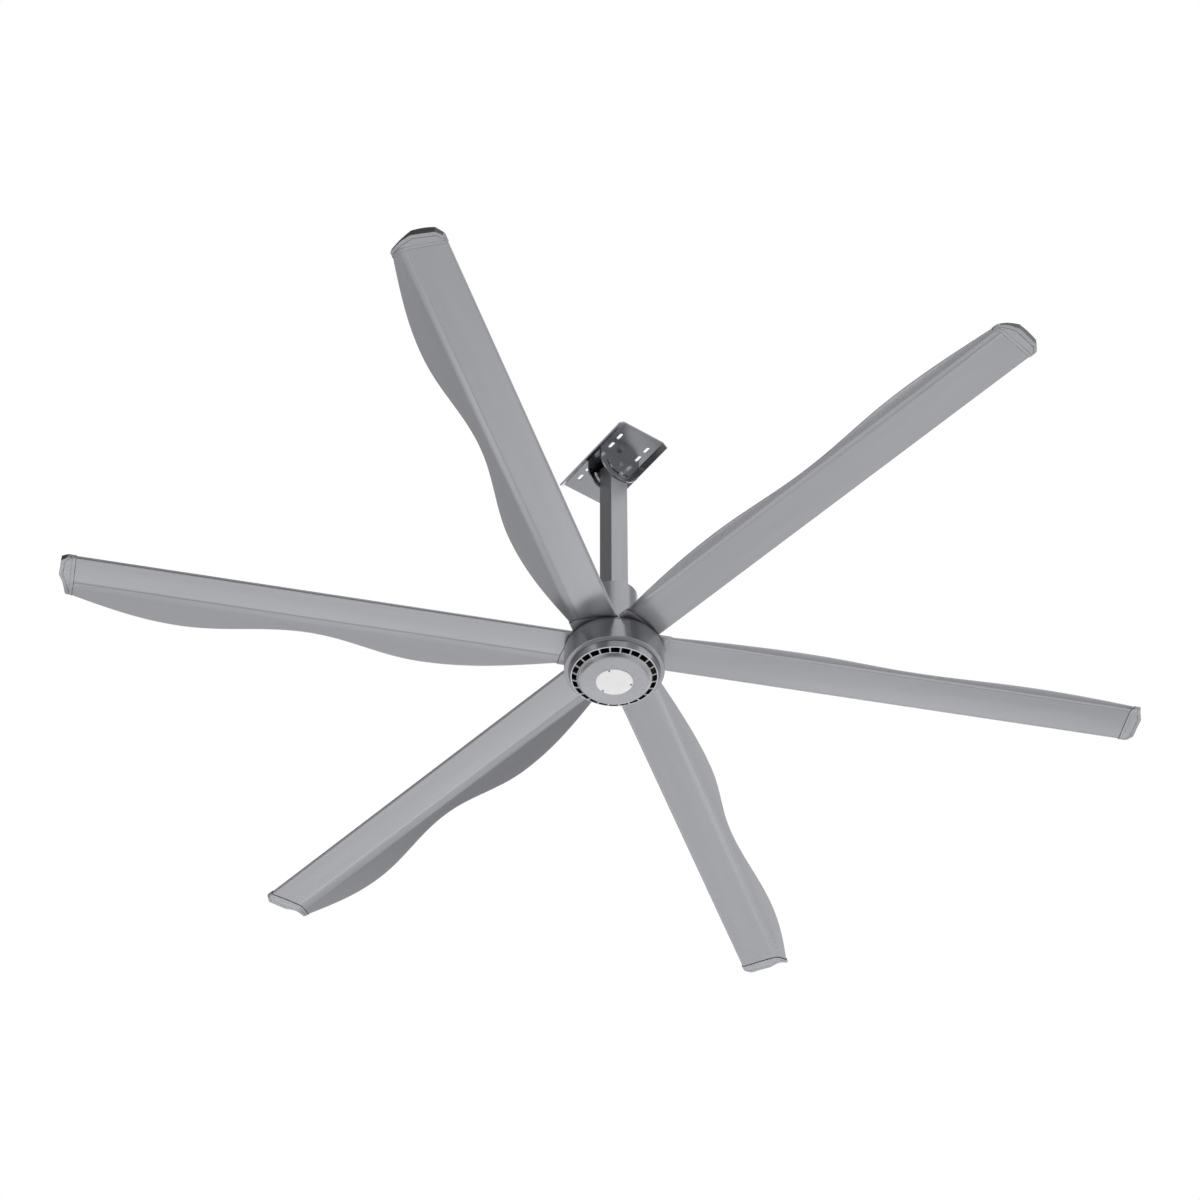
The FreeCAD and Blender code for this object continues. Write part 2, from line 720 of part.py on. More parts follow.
def rotor_magnets():
    magnet = box("magnet_thickness", "magnet_width", STATOR_STACK, MAGNET_INNER, STATOR_BOTTOM)
    return ring(magnet, MAGNETS, "rotor_angle")


def vent_bell():
    """The drum's lower end: a tapered ring, a cone of vents, the lower bearing's floor and three posts."""
    boss = "(bearing_outer + boss_wall)"
    boss_top = f"({LOWER_BEARING} + bearing_width)"
    spigot, spigot_inner = f"({DRUM_INNER} - fit_gap)", f"({DRUM_INNER} - bell_plate)"
    flange = "(drum_radius - drum_chamfer)"
    foot, foot_inner = f"({VENT_INNER} + cover_gap)", f"({VENT_INNER} - bell_plate)"
    body = revolution([
        (spigot_inner, f"{DRUM_BOTTOM} + bell_spigot"), (spigot, f"{DRUM_BOTTOM} + bell_spigot"),
        (spigot, DRUM_BOTTOM), (flange, DRUM_BOTTOM), (flange, f"{DRUM_BOTTOM} - bell_lip_height / 2"),
        (BELL_LIP, f"{DRUM_BOTTOM} - bell_lip_height"), (f"{BELL_LIP} - bell_lip_height", DRUM_BOTTOM),
        (f"{BELL_RIM} + bell_bevel", f"{BELL_BOTTOM} + bell_bevel"), (BELL_RIM, BELL_BOTTOM),
        (foot, CONE_BOTTOM), (foot_inner, CONE_BOTTOM), (foot_inner, BELL_BOTTOM),
        (SHAFT_HOLE, BELL_BOTTOM), (SHAFT_HOLE, BELL_FLOOR), (BEARING_SEAT, BELL_FLOOR),
        (BEARING_SEAT, boss_top), (boss, boss_top), (boss, BELL_FLOOR),
        (foot_inner, BELL_FLOOR), (foot, f"{CONE_BOTTOM} + bell_plate"),
        (f"{BELL_RIM} - bell_plate", BELL_FLOOR),
        (f"{BELL_LIP} - bell_lip_height - bell_plate", f"{DRUM_BOTTOM} + bell_plate"),
        (spigot_inner, f"{DRUM_BOTTOM} + bell_plate")])
    vents = body_sketch(body, "XY_Plane")
    first, last = f"({VENT_TURN} - vent_span / 2)", f"({VENT_TURN} + vent_span / 2)"
    points = [(f"{radius} * cos({angle})", f"{radius} * sin({angle})") for radius, angle in (
        (VENT_INNER, first), (VENT_OUTER, first), (VENT_OUTER, last), (VENT_INNER, last),
        (VENT_OUTER, VENT_TURN), (VENT_INNER, VENT_TURN))]
    outline(vents, points[:4], {1: points[4], 3: points[5]})
    vents.setExpression("AttachmentOffset.Base.z", formula(CONE_BOTTOM))
    slot = pocket(body, vents)
    slot.Type = "Length"
    bind(slot, Length="2 * (vent_drop + bell_plate)")
    polar_pattern(body, slot, VENTS)
    post = cylinder("post_radius", "cover_depth - cover_wall", x=BADGE_SCREW_CIRCLE,
                    z=f"{COVER_BOTTOM} + cover_wall")
    posts = ring(post, BADGE_SCREWS, BADGE_SCREW_TURN)
    return cut(fuse(body, *posts.Links), ring(badge_screw("fit_gap"), BADGE_SCREWS, BADGE_SCREW_TURN))


def centre_cover():
    """A shallow dish with a sloped, slightly bulging edge; its face stands lower than the vents."""
    rise = "(cover_depth - vent_drop)"
    bend = (f"{COVER_FACE} + cover_slope / 2 + cover_bulge", f"{COVER_BOTTOM} + {rise} / 2 - cover_bulge")
    inner_bend = (f"{COVER_FACE} + (cover_slope - cover_wall) / 2 + cover_bulge",
                  f"{COVER_BOTTOM} + ({rise} + cover_wall) / 2 - cover_bulge")
    body = revolution(
        [("0", COVER_BOTTOM), (COVER_FACE, COVER_BOTTOM), (COVER_RADIUS, CONE_BOTTOM),
         (f"{COVER_RADIUS} - cover_wall", CONE_BOTTOM), (COVER_FACE, f"{COVER_BOTTOM} + cover_wall"),
         ("0", f"{COVER_BOTTOM} + cover_wall")],
        {1: bend, 3: inner_bend})
    return cut(body, ring(badge_screw("fit_gap"), BADGE_SCREWS, BADGE_SCREW_TURN))


def badge_plate():
    disc = cylinder("badge_radius", "badge_thickness", z=BADGE_BOTTOM)
    return cut(disc, ring(badge_screw("fit_gap"), BADGE_SCREWS, BADGE_SCREW_TURN))


def badge_screw(gap):
    """The shank of a badge screw, or its hole where gap is a clearance."""
    return cylinder(f"badge_screw_radius + {gap}", f"badge_screw_length + {gap}", x=BADGE_SCREW_CIRCLE,
                    z=BADGE_BOTTOM)


def badge_screws():
    head = cylinder("badge_screw_head", "badge_screw_radius", x=BADGE_SCREW_CIRCLE,
                    z=f"{BADGE_BOTTOM} - badge_screw_radius")
    return ring(fuse(badge_screw("0"), head), BADGE_SCREWS, BADGE_SCREW_TURN)


# Hub and blades. Each is drawn with the span along +X, then turned into place.

def hub_plate():
    plate = cut(cylinder(HUB_RADIUS, f"{ARM_BOTTOM} - {DRUM_TOP}", z=DRUM_TOP),
                cylinder(SHAFT_HOLE, f"{ARM_BOTTOM} - {DRUM_TOP}", z=DRUM_TOP))
    screw_holes = ring(hub_screw("fit_gap"), BLADES, BETWEEN_BLADES)
    return cut(plate, screw_holes, *on_blades(arm_bolt_pair("fit_gap")))


def clamp_plate():
    disc = cut(cylinder(HUB_RADIUS, "clamp_thickness", z=ARM_TOP),
               cylinder("clamp_hole", "clamp_thickness", z=ARM_TOP))
    return cut(disc, *on_blades(arm_bolt_pair("fit_gap")))


def hub_screw(gap):
    """The shank of a screw that holds the hub plate on the drum."""
    bottom = f"({DRUM_TOP} - hub_screw_depth - {gap})"
    return cylinder(f"hub_screw_radius + {gap}", f"{ARM_BOTTOM} - {bottom}", x="hub_screw_circle", z=bottom)


def hub_screws():
    head = cylinder("hub_screw_head", "2 * hub_screw_radius", x="hub_screw_circle", z=ARM_BOTTOM)
    return ring(fuse(hub_screw("0"), head), BLADES, BETWEEN_BLADES)


def arm_bolt_pair(gap):
    bottom = f"({ARM_BOTTOM} - arm_bolt_depth - {gap})"
    return group([cylinder(f"arm_bolt_diameter / 2 + {gap}", f"{CLAMP_TOP} - {bottom}", x=ARM_BOLT_CIRCLE,
                           y=f"-arm_chord + {side} * arm_bolt_spacing / 2", z=bottom) for side in (-1, 1)])


def arm_bolts():
    bolts = []
    for side, shank in zip((-1, 1), arm_bolt_pair("0").Links):
        head = hexagon("arm_bolt_across", "arm_bolt_head", x=ARM_BOLT_CIRCLE,
                       y=f"-arm_chord + {side} * arm_bolt_spacing / 2", z=CLAMP_TOP)
        bolts.append(fuse(shank, head))
    return group(on_blades(group(bolts)))


def blade_screw_shanks(gap):
    bottom = f"({ARM_TOP} - blade_screw_depth - {gap})"
    height = f"blade_top + blade_screw_height / 2 - drop - {bottom}"
    return [cylinder(f"blade_screw_radius + {gap}", height, x=span, y="-arm_chord", z=bottom)
            for span in BLADE_SCREW_SPANS]


def blade_screws():
    screws = []
    for span, shank in zip(BLADE_SCREW_SPANS, blade_screw_shanks("0")):
        head = cylinder("blade_screw_head", "blade_screw_height", x=span, y="-arm_chord",
                        z="blade_top + crown_gap - drop")
        screws.append(fuse(shank, head))
    return group(on_blades(group(screws)))


def blade_arm():
    bar = box(f"{ARM_END} - {ARM_START}", "arm_width", f"{ARM_TOP} - {ARM_BOTTOM}", ARM_START, ARM_BOTTOM,
              y="-arm_chord")
    return cut(bar, arm_bolt_pair("fit_gap"), *blade_screw_shanks("fit_gap"))


def section_sketch(trailing):
    """The blade's section. trailing is the flap's reach, or None for the hollow body alone."""
    sketch = add("Sketcher::SketchObject")
    sketch.Placement.Rotation = Rotation(90, 0, 90)
    bind(sketch, Placement__Base__z="-drop")
    nose_top = (f"{NOSE_CENTRE} + nose_radius * cos(nose_top_angle)",
                "nose_height + nose_radius * sin(nose_top_angle)")
    nose_under = (NOSE_UNDER_Y, NOSE_UNDER_Z)
    crease = ("-crease_chord", "crease_height")
    flap_height = "flap_thickness / cos(flap_slope)"
    crease_top = ("-crease_chord", f"crease_height + {flap_height}")
    belly = (f"({NOSE_UNDER_Y} - crease_chord) / 2",
             f"({NOSE_UNDER_Z} + crease_height) / 2 + underside_rise")
    corners = [nose_top, nose_under, crease, crease_top]
    if trailing:
        edge = f"crease_height - tan(flap_slope) * ({trailing} - crease_chord)"
        corners[3:3] = [(f"-({trailing})", edge), (f"-({trailing})", f"{edge} + {flap_height}")]
    crown = ("-crest_chord", "blade_top")
    outline(sketch, corners, {0: ("chord_front", "nose_height"), 1: belly, len(corners) - 1: crown})
    return sketch


def offset(sketch, distance):
    item = add("Part::Offset2D")
    item.Source = sketch
    item.Join = "Arc"
    return bind(item, Value=distance)


def extrusion(profile, start, length):
    """A profile drawn out along the span."""
    item = add("Part::Extrusion")
    item.Base = profile
    item.DirMode = "Custom"
    item.Dir = Vector(1, 0, 0)
    item.Solid = True
    bind(item, LengthFwd=length)
    return place(item, x=start)


def wave_reach(span):
    """How far the flap reaches behind the blade's axis at a place along the span."""
    root, hump, trough, tip = (number(name) for name in (
        "root_trailing", "hump_trailing", "trough_trailing", "tip_trailing"))
    start, first, low, second, end = (number(name) for name in (
        WAVE_START, "first_hump", "trough_span", "second_hump", "blade_tip"))
    if span <= first:
        return root + (hump - root) * math.sin(math.pi / 2 * (span - start) / (first - start))
    if span <= second:
        width = low - first if span < low else second - low
        return (hump + trough) / 2 - (hump - trough) / 2 * math.cos(math.pi * (span - low) / width)
    return tip + (hump - tip) * math.cos(math.pi / 2 * (span - second) / (end - second))


def wave_cutter():
    """The block behind the flap's waved edge. It reads its sizes from the sheet."""
    start, end = number(WAVE_START), number("blade_tip")
    begin, finish = number(f"{BLADE_ROOT} - overrun"), number(f"{BLADE_END} + overrun")
    beyond = 2 * number("hump_trailing")
    steps = 48
    spans = [start + (end - start) * step / steps for step in range(steps + 1)]
    edge = [Vector(span, -wave_reach(span), 0) for span in spans]
    curve = Part.BSplineCurve()
    curve.interpolate(edge)
    bend = [edge[-1], Vector(finish, edge[-1].y, 0), Vector(finish, -beyond, 0), Vector(begin, -beyond, 0),
            Vector(begin, edge[0].y, 0), edge[0]]
    sides = [Part.LineSegment(here, there).toShape() for here, there in zip(bend, bend[1:])]
    face = Part.Face(Part.Wire([curve.toShape()] + sides))
    depth = number("hump_trailing")
    item = add("Part::Feature")
    item.Shape = face.extrude(Vector(0, 0, 2 * depth))
    item.Placement.Base = Vector(0, 0, -number("drop") - depth)
    return item


def blade():
    length = f"{BLADE_END} - {BLADE_ROOT}"
    outer = extrusion(section_sketch("hump_trailing + flap_thickness"), BLADE_ROOT, length)
    hollow = extrusion(offset(section_sketch(None), "-blade_wall"), f"{BLADE_ROOT} - overrun",
                       f"{length} + 2 * overrun")
    return cut(outer, hollow, wave_cutter(), *blade_screw_shanks("fit_gap"))


def root_cuff():
    """A moulded sleeve over the blade's root, clear of the hub and the cuff behind; its end is slanted."""
    sketch = section_sketch("root_trailing")
    start = f"({HUB_RADIUS} / 2)"
    length = f"({CUFF_END} - {start})"
    outer = extrusion(offset(sketch, "cuff_wall"), start, length)
    hollow = extrusion(offset(sketch, "fit_gap"), f"{start} - overrun", f"{length} + 2 * overrun")
    tall, low = "8 * blade_top", "-drop - 4 * blade_top"
    hub = cylinder(f"{HUB_RADIUS} + cuff_hub_gap", tall, z=low)
    behind = turned(box(CUFF_MITRE, f"4 * {CUFF_END}", tall, "0", low), f"90 - {BLADE_TURN}")
    slant = f"{CUFF_END} * cos(cuff_slant) - (root_trailing + cuff_wall) * sin(cuff_slant)"
    beyond = turned(box(CUFF_END, f"4 * {CUFF_END}", tall, slant, low), "cuff_slant")
    return cut(outer, hollow, hub, behind, beyond)


def tip_cap():
    """A moulded cap over the blade's end, its outline cut back at the corners and along the flap."""
    sketch = section_sketch("tip_trailing")
    body = extrusion(offset(sketch, "cap_wall"), "blade_tip", "cap_length")
    socket = extrusion(offset(sketch, "fit_gap"), "blade_tip - overrun", "cap_socket + fit_gap + overrun")
    plan = add("Sketcher::SketchObject")
    front, back = "chord_front + 2 * cap_wall", "-tip_trailing - 2 * cap_wall"
    outline(plan, [
        ("blade_tip - overrun", front), ("blade_tip + cap_length - cap_corner_front - cap_wall", front),
        ("blade_tip + cap_length - cap_wall", "chord_front - cap_corner_front"),
        ("blade_tip + cap_length", "-crease_chord / 2"),
        ("blade_tip + cap_length - cap_corner_back", "-cap_shoulder"),
        ("blade_tip + cap_tail", f"{back} + cap_tail_corner"),
        ("blade_tip + cap_tail - cap_tail_corner", back), ("blade_tip - overrun", back)])
    prism = add("Part::Extrusion")
    prism.Base = plan
    prism.DirMode = "Custom"
    prism.Dir = Vector(0, 0, 1)
    prism.Solid = True
    bind(prism, LengthFwd="4 * blade_top")
    place(prism, z="-drop - 2 * blade_top")
    return cut(common(body, prism), socket)


def rotor():
    node("motor_drum", motor_drum())
    node("upper_bearing", bearing(UPPER_BEARING))
    node("lower_bearing", bearing(LOWER_BEARING))
    node("rotor_magnets", rotor_magnets())
    node("vent_bell", vent_bell())
    node("centre_cover", centre_cover())
    node("badge_plate", badge_plate())
    node("badge_screws", badge_screws())
    node("hub_plate", hub_plate())
    node("hub_screws", hub_screws())
    node("clamp_plate", clamp_plate())
    node("arm_bolts", arm_bolts())
    node("blade_screws", blade_screws())
    for label, source in (("blade_arm", blade_arm()), ("blade", blade()), ("root_cuff", root_cuff()),
                          ("tip_cap", tip_cap())):
        for place_number, copy in enumerate(on_blades(source), start=1):
            node(f"{label}_{place_number}", copy)


def check():
    failed = [item.Name for item in doc.Objects if {"Invalid", "Error"} & set(item.State)]
    if failed:
        raise RuntimeError(f"these objects failed: {failed}")
    for item in nodes:
        if item.Shape.isNull() or not item.Shape.isValid() or not item.Shape.Solids:
            raise RuntimeError(f"{item.Label} has no valid shape")


def write():
    os.makedirs("parts", exist_ok=True)
    for item in nodes:
        solids = item.Shape.Solids
        shape = solids[0] if len(solids) == 1 else Part.makeCompound(solids)
        shape.exportStep(f"parts/{item.Label}.step")


bracket()
hanger()
rotor()
doc.recompute()
check()
write()
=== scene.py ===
# %% [markdown]
# # A six-blade high volume low speed fan
# The packed solids are the fixed frame of this lesson: every piece below is built in metres around
# them, rides on one of their three bodies (bracket, hanger, rotor), and most pieces stand for a plain
# solid with a finer shape. Loading the frame comes first, because its box and its names are the
# measure for all that follows.

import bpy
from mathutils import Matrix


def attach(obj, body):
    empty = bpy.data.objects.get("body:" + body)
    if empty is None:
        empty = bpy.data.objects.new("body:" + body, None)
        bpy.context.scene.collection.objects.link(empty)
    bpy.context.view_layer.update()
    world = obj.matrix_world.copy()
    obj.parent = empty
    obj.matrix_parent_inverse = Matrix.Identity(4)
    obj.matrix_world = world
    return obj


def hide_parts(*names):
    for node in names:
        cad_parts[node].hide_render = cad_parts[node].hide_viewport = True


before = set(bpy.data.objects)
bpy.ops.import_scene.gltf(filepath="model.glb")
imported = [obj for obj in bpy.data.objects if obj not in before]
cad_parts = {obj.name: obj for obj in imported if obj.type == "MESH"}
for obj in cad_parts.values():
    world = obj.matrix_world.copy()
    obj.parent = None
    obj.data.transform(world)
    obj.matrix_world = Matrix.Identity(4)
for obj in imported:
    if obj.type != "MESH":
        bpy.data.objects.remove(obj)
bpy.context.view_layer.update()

# %% [markdown]
# # The camera
# The fan is seen from the hall's floor, about 6.5 m below it and as far to the side, through a long
# lens. The place and the view line were fitted to the six blades, so the blades fan out over the
# picture as they do there. A camera looks along its own -Z, and to_track_quat turns that axis to a
# given direction with Y kept up.

# %% Camera
import math

import bmesh
import bpy
from mathutils import Matrix, Vector

CAMERA_PLACE = (5.521, -3.982, -7.395)
CAMERA_LOOK = (-0.5804, 0.4125, 0.7022)
LENS_MM = 84.88
SENSOR_MM = 36.0

scene = bpy.context.scene
scene.view_settings.view_transform = "Standard"


def shown(name, data):
    """Puts an object with its mesh, curve, lamp or camera data into the scene."""
    made = bpy.data.objects.new(name, data)
    scene.collection.objects.link(made)
    return made


def face_along(made, way):
    """Turns a camera or a lamp to a direction."""
    made.rotation_euler = Vector(way).to_track_quat("-Z", "Y").to_euler()


lens = bpy.data.cameras.new("hall_camera")
lens.sensor_width = SENSOR_MM
lens.lens = LENS_MM
camera = shown("hall_camera", lens)
camera.location = CAMERA_PLACE
face_along(camera, CAMERA_LOOK)
scene.camera = camera
print("camera at", tuple(round(x, 2) for x in camera.location), "lens", LENS_MM, "mm")

# %% [markdown]
# # Studio light
# The undersides are what the camera sees, so the main soft box stands low on the far side and shines
# up; a second one, high at the right, catches the downrod's right face and leaves its left face dark.
# The world is white to the camera and in reflections, and only a dim fill for matt surfaces. The Light
# Path node tells those rays apart. The lamps don't show in reflections: what the satin metal mirrors is
# the white room and the boards further on. Node trees are long to write out, so one helper adds a node
# and sets or links its inputs.

# %% World
FILL_STRENGTH = 0.26


def add_node(tree, kind, inputs=None, **settings):
    """A node with its settings; an input is a value, another node or one of its output sockets."""
    node = tree.nodes.new(kind)
    for name, value in settings.items():
        setattr(node, name, value)
    for key, value in (inputs or {}).items():
        if isinstance(value, bpy.types.Node):
            value = value.outputs[0]
        if isinstance(value, bpy.types.NodeSocket):
            tree.links.new(value, node.inputs[key])
        else:
            node.inputs[key].default_value = value
    return node


def seen_ray(tree):
    """A value of 1 for rays from the eye, from mirrors and through glass, and 0 for the rest."""
    rays = add_node(tree, "ShaderNodeLightPath").outputs
    seen = rays["Is Camera Ray"]
    for kind in ("Is Glossy Ray", "Is Transmission Ray"):
        seen = add_node(tree, "ShaderNodeMath", {0: seen, 1: rays[kind]}, operation="MAXIMUM")
    return seen


world = bpy.data.worlds.new("studio")
scene.world = world
world.use_nodes = True
sky = world.node_tree
sky.nodes.clear()
fill = add_node(sky, "ShaderNodeBackground", {"Strength": FILL_STRENGTH})
white = add_node(sky, "ShaderNodeBackground", {"Color": (1, 1, 1, 1)})
either = add_node(sky, "ShaderNodeMixShader", {0: seen_ray(sky), 1: fill, 2: white})
add_node(sky, "ShaderNodeOutputWorld", {"Surface": either})
print("world:", len(sky.nodes), "nodes")

# %% Lamps
SOFT_BOXES = {
    "under_box": {"place": (-2.59, 1.87, -8.28), "shines": (0, 0, 1), "size": 8.0, "watts": 560},
    "side_box": {"place": (6.56, 3.36, 2.44), "shines": (-0.82, -0.42, -0.42), "size": 3.5,
                 "watts": 400},
}

for name, box in SOFT_BOXES.items():
    lamp = bpy.data.lights.new(name, "AREA")
    lamp.shape = "DISK"
    lamp.size = box["size"]
    lamp.energy = box["watts"]
    soft_box = shown(name, lamp)
    soft_box.location = box["place"]
    face_along(soft_box, box["shines"])
    soft_box.visible_camera = False
    soft_box.visible_glossy = False
print("soft boxes:", ", ".join(SOFT_BOXES))

# %% [markdown]
# # Floor
# The hall's floor lies below the camera. It is one pale sheet: a matt surface that takes the fan's
# shadow, mixed for the eye with a little glow so that it stays as pale as the world behind it.

# %% Floor
FLOOR_HEIGHT, FLOOR_HALF = -9.0, 400.0
FLOOR_TONE, FLOOR_GLOW = 0.86, 0.75


def flat_grey(tone):
    return (tone, tone, tone, 1)


def empty_material(name):
    """A material whose node tree is still empty."""
    made = bpy.data.materials.new(name)
    made.use_nodes = True
    made.node_tree.nodes.clear()
    return made


def rectangle(half_x, half_y):
    """The four corners of a rectangle round the origin."""
    return [(-half_x, -half_y), (half_x, -half_y), (half_x, half_y), (-half_x, half_y)]


def stage_sheet(name, corners, material):
    """A rectangle that belongs to the studio and not to the fan."""
    mesh = bpy.data.meshes.new(name)
    mesh.from_pydata(corners, [], [(0, 1, 2, 3)])
    mesh.materials.append(material)
    sheet = shown(name, mesh)
    return sheet


pale_floor = empty_material("pale_floor")
paint = pale_floor.node_tree
matt = add_node(paint, "ShaderNodeBsdfDiffuse", {"Color": flat_grey(FLOOR_TONE)})
glow = add_node(paint, "ShaderNodeEmission")
share = add_node(paint, "ShaderNodeMath", {0: seen_ray(paint), 1: FLOOR_GLOW}, operation="MULTIPLY")
mixed = add_node(paint, "ShaderNodeMixShader", {0: share, 1: matt, 2: glow})
add_node(paint, "ShaderNodeOutputMaterial", {"Surface": mixed})
floor_corners = [(x, y, FLOOR_HEIGHT) for x, y in rectangle(FLOOR_HALF, FLOOR_HALF)]
stage_sheet("hall_floor", floor_corners, pale_floor)
print("floor at", FLOOR_HEIGHT, "m")

# %% [markdown]
# # Grey boards
# Metal shows its form by what it mirrors, and in an all white room it would look flat. A photographer
# puts boards out of the picture: dark ones overhead for the upright faces, dark ones beside and behind
# the camera for the flaps and the bell, a bright one far off, and lighter and darker strips on the
# floor, which draw soft changes of tone across the blades' hollow undersides. Each board is a rectangle,
# given by its ranges in metres along right, away and up as the camera sees them. Only mirror rays see
# the boards.

# %% Boards
RIGHT, AWAY, UP = Vector((0.585, 0.811, 0)), Vector((-0.811, 0.585, 0)), Vector((0, 0, 1))
OVERHEAD, ON_FLOOR = (1.5, 1.5), (-8.9, -8.9)
BOARDS = {
    # Ranges along right, away and up, and the tone
    "board_over": ((-20, -0.6), (0, 12), OVERHEAD, 0.19),
    "board_side": ((-20, -0.6), (-5, 0), OVERHEAD, 0.36),
    "board_front": ((-0.6, 0.1), (-5, -0.5), OVERHEAD, 0.80),
    "board_corner": ((1.6, 3.5), (-0.35, 2.0), OVERHEAD, 0.40),
    "board_left": ((-5.0, -5.0), (-2.0, 2.5), (-8.5, -2.0), 0.27),
    "board_right": ((4.5, 4.5), (0.5, 3.5), (-6.0, -2.2), 0.48),
    "board_back": ((-5, 5), (-10, -10), (-8.9, 1.0), 0.25),
    "board_glow": ((0.2, 12), (18, 18), (-1, 5.5), 1.70),
    "floor_back": ((-7, 7), (-10, -5.2), ON_FLOOR, 0.12),
    "floor_nose": ((1.6, 6), (4.2, 5.2), ON_FLOOR, 1.55),
    "floor_side": ((1.4, 9), (2.0, 4.1), ON_FLOOR, 0.60),
    "floor_grey": ((-8, 1.3), (4.7, 7.0), ON_FLOOR, 0.66),
    "floor_dim": ((1.3, 9), (5.4, 7.4), ON_FLOOR, 0.50),
    "floor_bright": ((-8, 1.3), (9.6, 12.6), ON_FLOOR, 1.28),
    "floor_far": ((-30, 30), (15.5, 45), ON_FLOOR, 0.84),
}


def board_corners(spans):
    """The four corners of a board: two of its three ranges are open, the third is a single value."""
    first, second = [i for i, (low, high) in enumerate(spans) if high > low]
    corners = []
    for along_first, along_second in ((0, 0), (1, 0), (1, 1), (0, 1)):
        pick = [low for low, _ in spans]
        pick[first] = spans[first][along_first]
        pick[second] = spans[second][along_second]
        corners.append(RIGHT * pick[0] + AWAY * pick[1] + UP * pick[2])
    return corners


for name, (*spans, tone) in BOARDS.items():
    paper = empty_material(name)
    glow = add_node(paper.node_tree, "ShaderNodeEmission", {"Color": flat_grey(tone)})
    add_node(paper.node_tree, "ShaderNodeOutputMaterial", {"Surface": glow})
    stand = stage_sheet(name, board_corners(spans), paper)
    for kind in ("camera", "diffuse", "shadow", "transmission"):
        setattr(stand, f"visible_{kind}", False)
print("boards:", ", ".join(BOARDS))

# %% [markdown]
# # Finishes
# Almost all of the fan is satin silver-grey: powder coat on the bracket and the tube, painted castings
# for the motor, lacquered extrusions for the blades. Each finish is one Principled shader. A wide, soft
# noise makes the colour and the gloss drift a little over the surface, as real paint does, and a fine
# noise gives the bump of orange peel, drawn lines or moulded grain. The blades read the pattern from
# their own UV map, because their lines run along the span; everything else reads Object coordinates.

# %% One recipe for a finish
TONE_STOPS = (0.3, 0.7)


def finish(name, dark, light, metallic, gloss, drift, grain, stretch=(1, 1, 1), uv=None, bands=False):
    """A procedural finish: drift is a noise scale, grain a scale and a depth in metres."""
    made = bpy.data.materials.new(name)
    made.use_nodes = True
    tree = made.node_tree
    shader = tree.nodes["Principled BSDF"]
    shader.inputs["Metallic"].default_value = metallic
    if uv:
        start = add_node(tree, "ShaderNodeUVMap", uv_map=uv)
    else:
        start = add_node(tree, "ShaderNodeTexCoord").outputs["Object"]
    place = add_node(tree, "ShaderNodeMapping", {"Vector": start, "Scale": stretch})

    clouds = add_node(tree, "ShaderNodeTexNoise", {"Vector": place, "Scale": drift, "Detail": 4})
    cloud = clouds.outputs["Fac"]
    tone = add_node(tree, "ShaderNodeValToRGB", {"Fac": cloud})
    for stop, position, colour in zip(tone.color_ramp.elements, TONE_STOPS, (dark, light)):
        stop.position = position
        stop.color = (*colour, 1)
    rough = add_node(tree, "ShaderNodeMapRange",
                     {"Value": cloud, "To Min": gloss[0], "To Max": gloss[1]})

    fine = add_node(tree, "ShaderNodeTexWave" if bands else "ShaderNodeTexNoise",
                    {"Vector": place, "Scale": grain[0], "Detail": 2})
    if bands:
        fine.bands_direction = "Z"
    bump = add_node(tree, "ShaderNodeBump",
                    {"Height": fine.outputs["Fac"], "Strength": 1.0, "Distance": grain[1]})
    for socket, source in (("Base Color", tone), ("Roughness", rough), ("Normal", bump)):
        tree.links.new(source.outputs[0], shader.inputs[socket])
    return made


def grey(level, blue=1.07):
    """A grey that leans a little to blue, as silver paint does."""
    return (level, level * (1 + (blue - 1) / 7), level * blue)


print("a silver grey:", [round(channel, 3) for channel in grey(0.4)])

# %% The fan's finishes
bracket_coat = finish("bracket_coat", grey(0.335), grey(0.365), 1.0, (0.18, 0.27), 5, (420, 0.00003))
tube_coat = finish("tube_coat", grey(0.39), grey(0.42), 0.60, (0.30, 0.38), 4, (520, 0.00003),
                   stretch=(6, 6, 0.4))
casting_paint = finish("casting_paint", grey(0.35), grey(0.38), 0.80, (0.18, 0.26), 7, (480, 0.00003))
blade_lacquer = finish("blade_lacquer", grey(0.405), grey(0.425), 0.72, (0.20, 0.27), 3,
                       (160, 0.00002), stretch=(0.5, 9, 1), uv="span")
moulded_grey = finish("moulded_grey", grey(0.405), grey(0.425), 0.35, (0.22, 0.30), 9, (900, 0.00003))
cover_grey = finish("cover_grey", grey(0.42), grey(0.44), 0.75, (0.24, 0.32), 9, (900, 0.00003))
badge_white = finish("badge_white", grey(0.80, 1.0), grey(0.83, 1.0), 0.0, (0.28, 0.36), 20,
                     (700, 0.00001))
# A lighter grey: a painted highlight for the edges of the vents.
painted_highlight = finish("painted_highlight", grey(0.60), grey(0.66), 0.85, (0.20, 0.28), 40, (700, 0.00002))
# Near black: painted shade for the rings where the cuffs end and the caps start.
painted_shade = finish("painted_shade", grey(0.045), grey(0.06), 0.0, (0.50, 0.65), 60, (700, 0.00003))
plate_dark = finish("plate_dark", grey(0.10), grey(0.12), 0.0, (0.45, 0.60), 60, (700, 0.00003))
zinc = finish("zinc_plate", (0.44, 0.47, 0.48), (0.60, 0.64, 0.65), 0.85, (0.28, 0.44), 90,
              (700, 0.00003))
dark_zinc = finish("dark_zinc", grey(0.10), grey(0.16), 0.80, (0.30, 0.45), 120, (800, 0.00003))
# Painted shade: the iron and the copper wire inside the closed motor are made nearly black.
core_iron = finish("core_iron", grey(0.02), grey(0.03), 0.30, (0.50, 0.65), 40, (700, 0.0003),
                   bands=True)
coil_wire_painted_shade = finish("coil_wire_painted_shade", (0.022, 0.014, 0.010), (0.034, 0.020, 0.014), 0.30, (0.45, 0.60), 60,
                   (300, 0.0004), bands=True)
